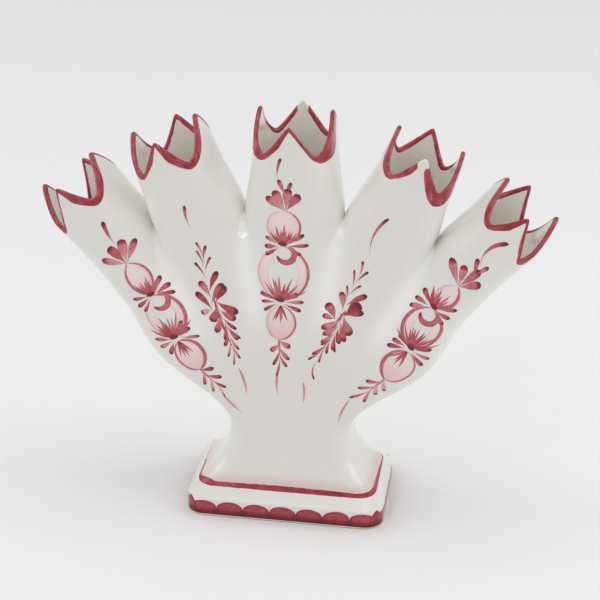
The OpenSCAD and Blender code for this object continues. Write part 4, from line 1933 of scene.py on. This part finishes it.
class ScallopTree(PaintTree):
    """A border of scallops round the plinth's upright face, with an upright petal at each corner."""

    COLUMNS = 33
    ROWS = 17
    START_OFF = 0.01
    ARCH_POWER = 0.55
    PETAL_POWER = 0.5
    CHANCE_SCALE = 3.0
    SHIFT_PITCH = 1.7
    SHIFT = 0.35
    CREST_PITCH = 2.3
    CREST_ROW = 4.0
    CREST_GAIN = 3.0
    RIPPLE_PITCH = (6.0, 3.0, 2.0)
    RIPPLE_GAIN = 0.6
    STROKE_PITCH = (11.0, 13.0)
    SIDE_THINNING = -0.4
    LOAD = 0.6
    SIDE_LOAD = 0.14
    SIDE_STEP = (0.6, 1.0)
    TOP_LOAD = 0.08
    TOP_STEP = (0.75, 1.0)
    FOOT_LOAD = 0.42
    FOOT_STEP = (0.2, 1.1)
    WEAR_PITCH = 5.1
    WEAR_SCALE = 2.0
    WEAR_LOAD = 0.25
    SEAM_LOAD = 0.16
    SEAM_STEPS = (0.0, 0.15, 0.6)

    def __init__(self, count: int, foot: float, notch: float, crest: float, corner: float) -> None:
        """Build the tree.

        Args:
            count: number of scallops round the plinth.
            foot: height of the border's lower edge.
            notch: height of the notches.
            crest: height of the scallops.
            corner: how much further the corners lie from the middle in width than in depth.
        """
        super().__init__("scallop_border", {
            "Count": float(count), "Foot": foot, "Notch": notch, "Crest": crest, "Paint": 0.06,
            "Uneven": 0.5, "Corner": corner, "Petal": 8.35, "Petal Half": 4.6, "Seed": 7.0})
        wiring = self.wiring
        path = wiring.result("GeometryNodeMeshToCurve", {"Mesh": wiring.given("Geometry")})
        spots = wiring.result("GeometryNodeMeshLine", {"Count": wiring.given("Count").math("ROUND")})
        index = wiring.term(wiring.result("GeometryNodeInputIndex"))
        scallops = self.patches(self.store(spots, "number", wiring.vector(index, 0.0, 0.0), "FLOAT_VECTOR"))
        u, v, _ = wiring.parts(self.stored("place"))
        number, _, _ = wiring.parts(self.stored("number"))
        rise, side = (v + 1.0) * 0.5, u * 2.0 - 1.0
        arch = (side * side).flip().positive().math("POWER", self.ARCH_POWER)
        chance = wiring.vector(number * self.SHIFT_PITCH, 0.0, wiring.given("Seed"))
        shift = wiring.noise(chance, self.CHANCE_SCALE) * self.SHIFT
        turn = (number + u + shift * arch) / wiring.given("Count")
        sample = wiring.add("GeometryNodeSampleCurve", {"Curves": path, "Factor": turn.math("FRACT")},
                            mode="FACTOR")
        ahead_x, ahead_y, _ = wiring.parts(sample.outputs["Tangent"])
        flat_x, flat_y, _ = wiring.parts(sample.outputs["Position"])
        petal = self.petal(flat_x, flat_y)
        ripple = wiring.vector(u * self.RIPPLE_PITCH[0] + number * self.RIPPLE_PITCH[1],
                               rise * self.RIPPLE_PITCH[2], 1.0)
        foot_height = wiring.given("Foot")
        z = (foot_height + (self.top(number, arch, petal) - foot_height) * rise
             + wiring.noise(ripple, 1.0) * wiring.given("Uneven") * rise * self.RIPPLE_GAIN)
        source_x, source_y = flat_x + ahead_y * self.START_OFF, flat_y - ahead_x * self.START_OFF
        source = wiring.vector(source_x, source_y, z * METRE)
        inward = wiring.vector(ahead_y * -1.0, ahead_x, 0.0)
        lift = wiring.given("Paint") * METRE * (side.math("ABSOLUTE") * self.SIDE_THINNING + petal + 1.0)
        along = u * self.STROKE_PITCH[0] + number * self.STROKE_PITCH[1]
        self.finish(scallops, source, inward, lift, self.load(side, rise, z, number, petal),
                    wiring.vector(along, z, number), ("number",))

    def petal(self, x: Term, y: Term) -> Term:
        """How far inside a corner's upright petal a place on the outline lies.

        Args:
            x: place in width, in metres.
            y: place in depth.

        Returns:
            1 at the middle of a corner, 0 outside the petal.
        """
        given = self.wiring.given
        from_corner = (x.math("ABSOLUTE") - y.math("ABSOLUTE")) / METRE - given("Corner")
        spread = from_corner / given("Petal Half")
        return (spread * spread).flip().positive()

    def top(self, number: Term, arch: Term, petal: Term) -> Term:
        """Height of the border's upper edge.

        Args:
            number: which scallop.
            arch: its arch, from 0 at a notch to 1 at the crest.
            petal: how far inside an upright petal.

        Returns:
            The height.
        """
        wiring, given = self.wiring, self.wiring.given
        chance = wiring.vector(number * self.CREST_PITCH, self.CREST_ROW, given("Seed"))
        high = wiring.noise(chance, self.CHANCE_SCALE)
        notch, crest = given("Notch"), given("Crest") + high * given("Uneven") * self.CREST_GAIN
        foot = given("Foot")
        upright = foot + (given("Petal") - foot) * petal.math("POWER", self.PETAL_POWER)
        return (notch + (crest - notch) * arch).math("MAXIMUM", upright)

    def load(self, side: Term, rise: Term, z: Term, number: Term, petal: Term) -> Term:
        """Load of pigment: darker at the edges, along the foot and round the petals.

        Args:
            side: place across the scallop, from -1 to 1.
            rise: place up it, from 0 to 1.
            z: height.
            number: which scallop.
            petal: how far inside an upright petal.

        Returns:
            The load.
        """
        wiring, notch = self.wiring, self.wiring.given("Notch")
        low, high = self.FOOT_STEP
        outside, line, inside = self.SEAM_STEPS
        edge = (side.math("ABSOLUTE").ramp(*self.SIDE_STEP) * self.SIDE_LOAD
                + rise.ramp(*self.TOP_STEP) * self.TOP_LOAD)
        lower = z.ramp(notch * low, notch * high).flip() * self.FOOT_LOAD
        chance = wiring.vector(number * self.WEAR_PITCH, 2.0, 3.0)
        wear = wiring.noise(chance, self.WEAR_SCALE) * self.WEAR_LOAD
        seam = petal.ramp(outside, line) * petal.ramp(line, inside).flip() * self.SEAM_LOAD
        return edge + lower + wear + seam + self.LOAD


@dataclass
class Decoration:
    """All brushed ornament that lies on the glaze."""

    plan: FanPlan
    plinth: Plinth
    enamel: Material
    surface: Object
    least_bow: float = 0.02
    scallops: int = 23
    border_foot: float = 0.95
    border_notch: float = 4.3
    border_crest: float = 7.5
    border_start: float = 0.3

    def brushwork(self, name: str, ornament: BudString | LeafSpray, tree: BrushTree) -> Object:
        """Lay one finger's ornament.

        Args:
            name: the piece's name.
            ornament: its marks.
            tree: the tree that lays marks.

        Returns:
            The piece.
        """
        lean = math.radians(self.plan.leans[ornament.finger])
        columns: dict[str, list[float]] = {key: [] for key in BrushTree.CARRIED}
        dabs = ornament.dabs()
        for dab in dabs:
            form = dab.brush.value
            bow = math.copysign(max(abs(dab.bow), self.least_bow), dab.bow)
            columns["root"] += [*dab.start, lean]
            columns["aim"] += [math.radians(dab.heading), dab.length, bow]
            columns["body"] += [dab.width, form.belly, form.tip]
            columns["ink"] += [dab.tone, form.head, form.head_from]
            columns["base"] += [form.root, form.root_to, form.coat]
        mesh = bpy.data.meshes.new(name)
        mesh.from_pydata([(0.0, 0.0, 0.0)] * len(dabs), [], [])
        for key, values in columns.items():
            mesh.attributes.new(key, "FLOAT_VECTOR", "POINT").data.foreach_set("vector", values)
        return tree.apply(linked(name, mesh), self.surface, self.enamel)

    def border(self) -> Object:
        """Lay the scallops round the plinth.

        Returns:
            The piece.
        """
        outline = self.plinth.base(0.0, 0.0) * METRE
        count = len(outline)
        start = int(np.argmax(outline[:, 1] - self.border_start * abs(outline[:, 0])))
        outline = np.roll(outline, -start, 0)
        mesh = bpy.data.meshes.new("scallop_border")
        mesh.from_pydata(outline.tolist(), [(i, (i + 1) % count) for i in range(count)], [])
        corner = (self.plinth.base_width - self.plinth.base_depth) / 2
        tree = ScallopTree(self.scallops, self.border_foot, self.border_notch, self.border_crest, corner)
        return tree.apply(linked("scallop_border", mesh), self.surface, self.enamel)


@dataclass
class Vase:
    """The whole vase: its pieces in the order they are built."""

    plan: FanPlan = field(default_factory=FanPlan)
    mesher: Mesher = field(default_factory=Mesher)

    def fingers(self) -> list[Finger]:
        """The five fingers, from the left, with the rims as they were painted.

        Returns:
            The fingers.
        """
        painted = (
            ("outer_left", (1.4, 1.0, 0.8, 0.8, 4.2, 0.6, 3.2, 2.8), (1.2, 1.0, 0.8, 2.2), ()),
            ("inner_left", (1.8, 1.8, 0.8, 1.0, 3.0, 1.8, 3.4, 2.6), (1.2, 1.0, 0.9, 2.0), ()),
            ("centre", (1.4, 1.5, 2.0, 1.0, 5.2, 2.2, 0.8, 8.0), (1.2, 1.2, 1.6, 1.2), (1,)),
            ("inner_right", (1.6, 1.6, 1.6, 1.6, 3.8, 2.2, 3.0, 6.4), (1.2, 1.2, 1.0, 4.6), (3,)),
            ("outer_right", (1.6, 1.6, 1.6, 1.6, 2.2, 2.7, 1.4, 4.0), (1.2, 1.2, 1.2, 1.2), ()))
        return [Finger(self.plan, self.mesher, k, "finger_" + name, rim, valleys, bare)
                for k, (name, rim, valleys, bare) in enumerate(painted)]

    def build(self, palette: Palette) -> None:
        """Build, dress and hand over every piece.

        Args:
            palette: the finishes.
        """
        fingers = self.fingers()
        trunk = Trunk(self.plan, self.mesher)
        plinth = Plinth(self.plan, self.mesher, trunk)
        body, foot = [trunk.skin(), *(finger.skin() for finger in fingers)], [plinth.skin()]
        skins = body + foot
        normals = seamless_normals(body) + seamless_normals(foot)
        pieces = [skin.to_object(palette.glaze, normal) for skin, normal in zip(skins, normals)]
        surface = self.joined("painted_surface", pieces)
        for piece, skin in zip(pieces, skins):
            self.hand_over(piece, "white_glaze", skin.name)
        self.hand_over(BaseSlab(plinth).build(palette.clay), "bare_clay", "base_slab")
        decoration = Decoration(self.plan, plinth, palette.enamel, surface)
        tree = BrushTree(self.plan)
        for ornament, finger in zip(ornaments(), fingers):
            name = finger.name.replace("finger", "brushwork")
            self.hand_over(decoration.brushwork(name, ornament, tree), "crimson_enamel")
        self.hand_over(decoration.border(), "crimson_enamel")
        spare = surface.data
        bpy.data.objects.remove(surface)
        bpy.data.meshes.remove(spare)

    @staticmethod
    def joined(name: str, pieces: list[Object]) -> Object:
        """A passing copy of several pieces as one surface.

        Args:
            name: its name.
            pieces: the pieces.

        Returns:
            The copy.
        """
        shape = bmesh.new()
        for piece in pieces:
            shape.from_mesh(piece.data)
        mesh = bpy.data.meshes.new(name)
        shape.to_mesh(mesh)
        shape.free()
        return linked(name, mesh)

    @staticmethod
    def hand_over(piece: Object, slot: str, node: str | None = None) -> None:
        """Fix a piece to the vase's body.

        Args:
            piece: the piece.
            slot: its material slot; not used.
            node: the solid it stands for, if it does.
        """
        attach(piece, BODY)
        if node:
            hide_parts(node)
        LOG.info("%s: %d faces", piece.name, len(piece.data.polygons))


@dataclass(frozen=True)
class Lamp:
    """A soft round lamp that faces the vase. Its place and size are metres, its power watts."""

    name: str
    place: Place
    size: float
    power: float
    aim: Place = (0.0, 0.0, 0.09)

    def hang(self) -> None:
        """Put the lamp in the scene."""
        light = bpy.data.lights.new(self.name, "AREA")
        light.shape = "DISK"
        light.size = self.size
        light.energy = self.power
        lamp = linked(self.name, light)
        lamp.location = self.place
        lamp.rotation_euler = (Vector(self.aim) - Vector(self.place)).to_track_quat("-Z", "Y").to_euler()


@dataclass
class Studio:
    """Plain pale floor, soft light and the camera. Its lengths are metres."""

    azimuth: float = 8.246
    elevation: float = 23.931
    roll: float = 0.766
    distance: float = 0.67372
    target: Place = (0.002492, 0.0, 0.092565)
    lens: float = 96.28
    sensor_width: float = 36.0
    nearest: float = 0.01
    floor_size: float = 8.0
    floor_colour: Colour = (242, 242, 242)
    floor_deeper: float = 0.97
    floor_cloud: float = 1.3
    floor_roughness: float = 0.9
    floor_shine: float = 0.1
    sky_grey: float = 0.98
    sky_strength: float = 0.70
    lamps: tuple[Lamp, ...] = (
        Lamp("key_lamp", (0.1, 0.0, 2.0), size=1.4, power=7.0),
        Lamp("left_lamp", (-1.3, 0.0, 0.7), size=0.8, power=2.4),
        Lamp("glint_lamp", (-0.5, -0.9, 1.1), size=0.12, power=0.5),
        Lamp("right_lamp", (1.3, 0.0, 0.7), size=0.8, power=3.4))

    def floor(self) -> None:
        """Lay the floor."""
        half = self.floor_size / 2
        mesh = bpy.data.meshes.new("floor")
        corners = [(-half, -half, 0.0), (half, -half, 0.0), (half, half, 0.0), (-half, half, 0.0)]
        mesh.from_pydata(corners, [], [(0, 1, 2, 3)])
        finish = Finish("studio_floor")
        wiring = finish.wiring
        cloud = wiring.noise(wiring.object_place(), self.floor_cloud)
        *pale, alpha = linear(*self.floor_colour)
        deeper = [c * self.floor_deeper for c in pale]
        colour = wiring.colour_mix(cloud + 0.5, (*deeper, alpha), (*pale, alpha))
        finish.feed(Base_Color=colour, Roughness=self.floor_roughness, Specular_IOR_Level=self.floor_shine)
        mesh.materials.append(finish.material)
        floor = linked("floor", mesh)
        floor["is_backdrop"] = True

    def light(self) -> None:
        """Set the world and the lamps."""
        world = bpy.data.worlds.new("studio")
        world.use_nodes = True
        backdrop = world.node_tree.nodes["Background"]
        backdrop.inputs["Color"].default_value = (*[self.sky_grey] * 3, 1.0)
        backdrop.inputs["Strength"].default_value = self.sky_strength
        bpy.context.scene.world = world
        for lamp in self.lamps:
            lamp.hang()

    def camera(self) -> None:
        """Place the camera at the photograph's viewing angle."""
        a, e, r = (math.radians(v) for v in (self.azimuth, self.elevation, self.roll))
        right = Vector((math.cos(a), math.sin(a), 0.0))
        back = Vector((math.sin(a) * math.cos(e), -math.cos(a) * math.cos(e), math.sin(e)))
        up = back.cross(right)
        across = right * math.cos(r) + up * math.sin(r)
        upward = up * math.cos(r) - right * math.sin(r)
        data = bpy.data.cameras.new("camera")
        data.lens = self.lens
        data.sensor_width = self.sensor_width
        data.clip_start = self.nearest
        camera = linked("camera", data)
        turn = Matrix((across, upward, back)).transposed().to_4x4()
        camera.matrix_world = Matrix.Translation(Vector(self.target) + back * self.distance) @ turn
        bpy.context.scene.camera = camera

    def build(self) -> None:
        """Build the whole studio."""
        bpy.context.scene.view_settings.view_transform = "Standard"
        self.floor()
        self.light()
        self.camera()


def plain(box: tuple) -> list[list[float]]:
    """A box's two corners as plain lists."""
    return [[float(x) for x in corner] for corner in box]


def main() -> None:
    """Build the studio and the vase, and work out the solids' box and the dressed one's."""
    logging.basicConfig(level=logging.INFO, format="%(name)s: %(message)s")
    solids = plain(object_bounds())
    Studio().build()
    Vase().build(Palette.mixed())
    bpy.context.view_layer.update()
    {"cad": solids, "visual": plain(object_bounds())}


if __name__ == "__main__":
    main()
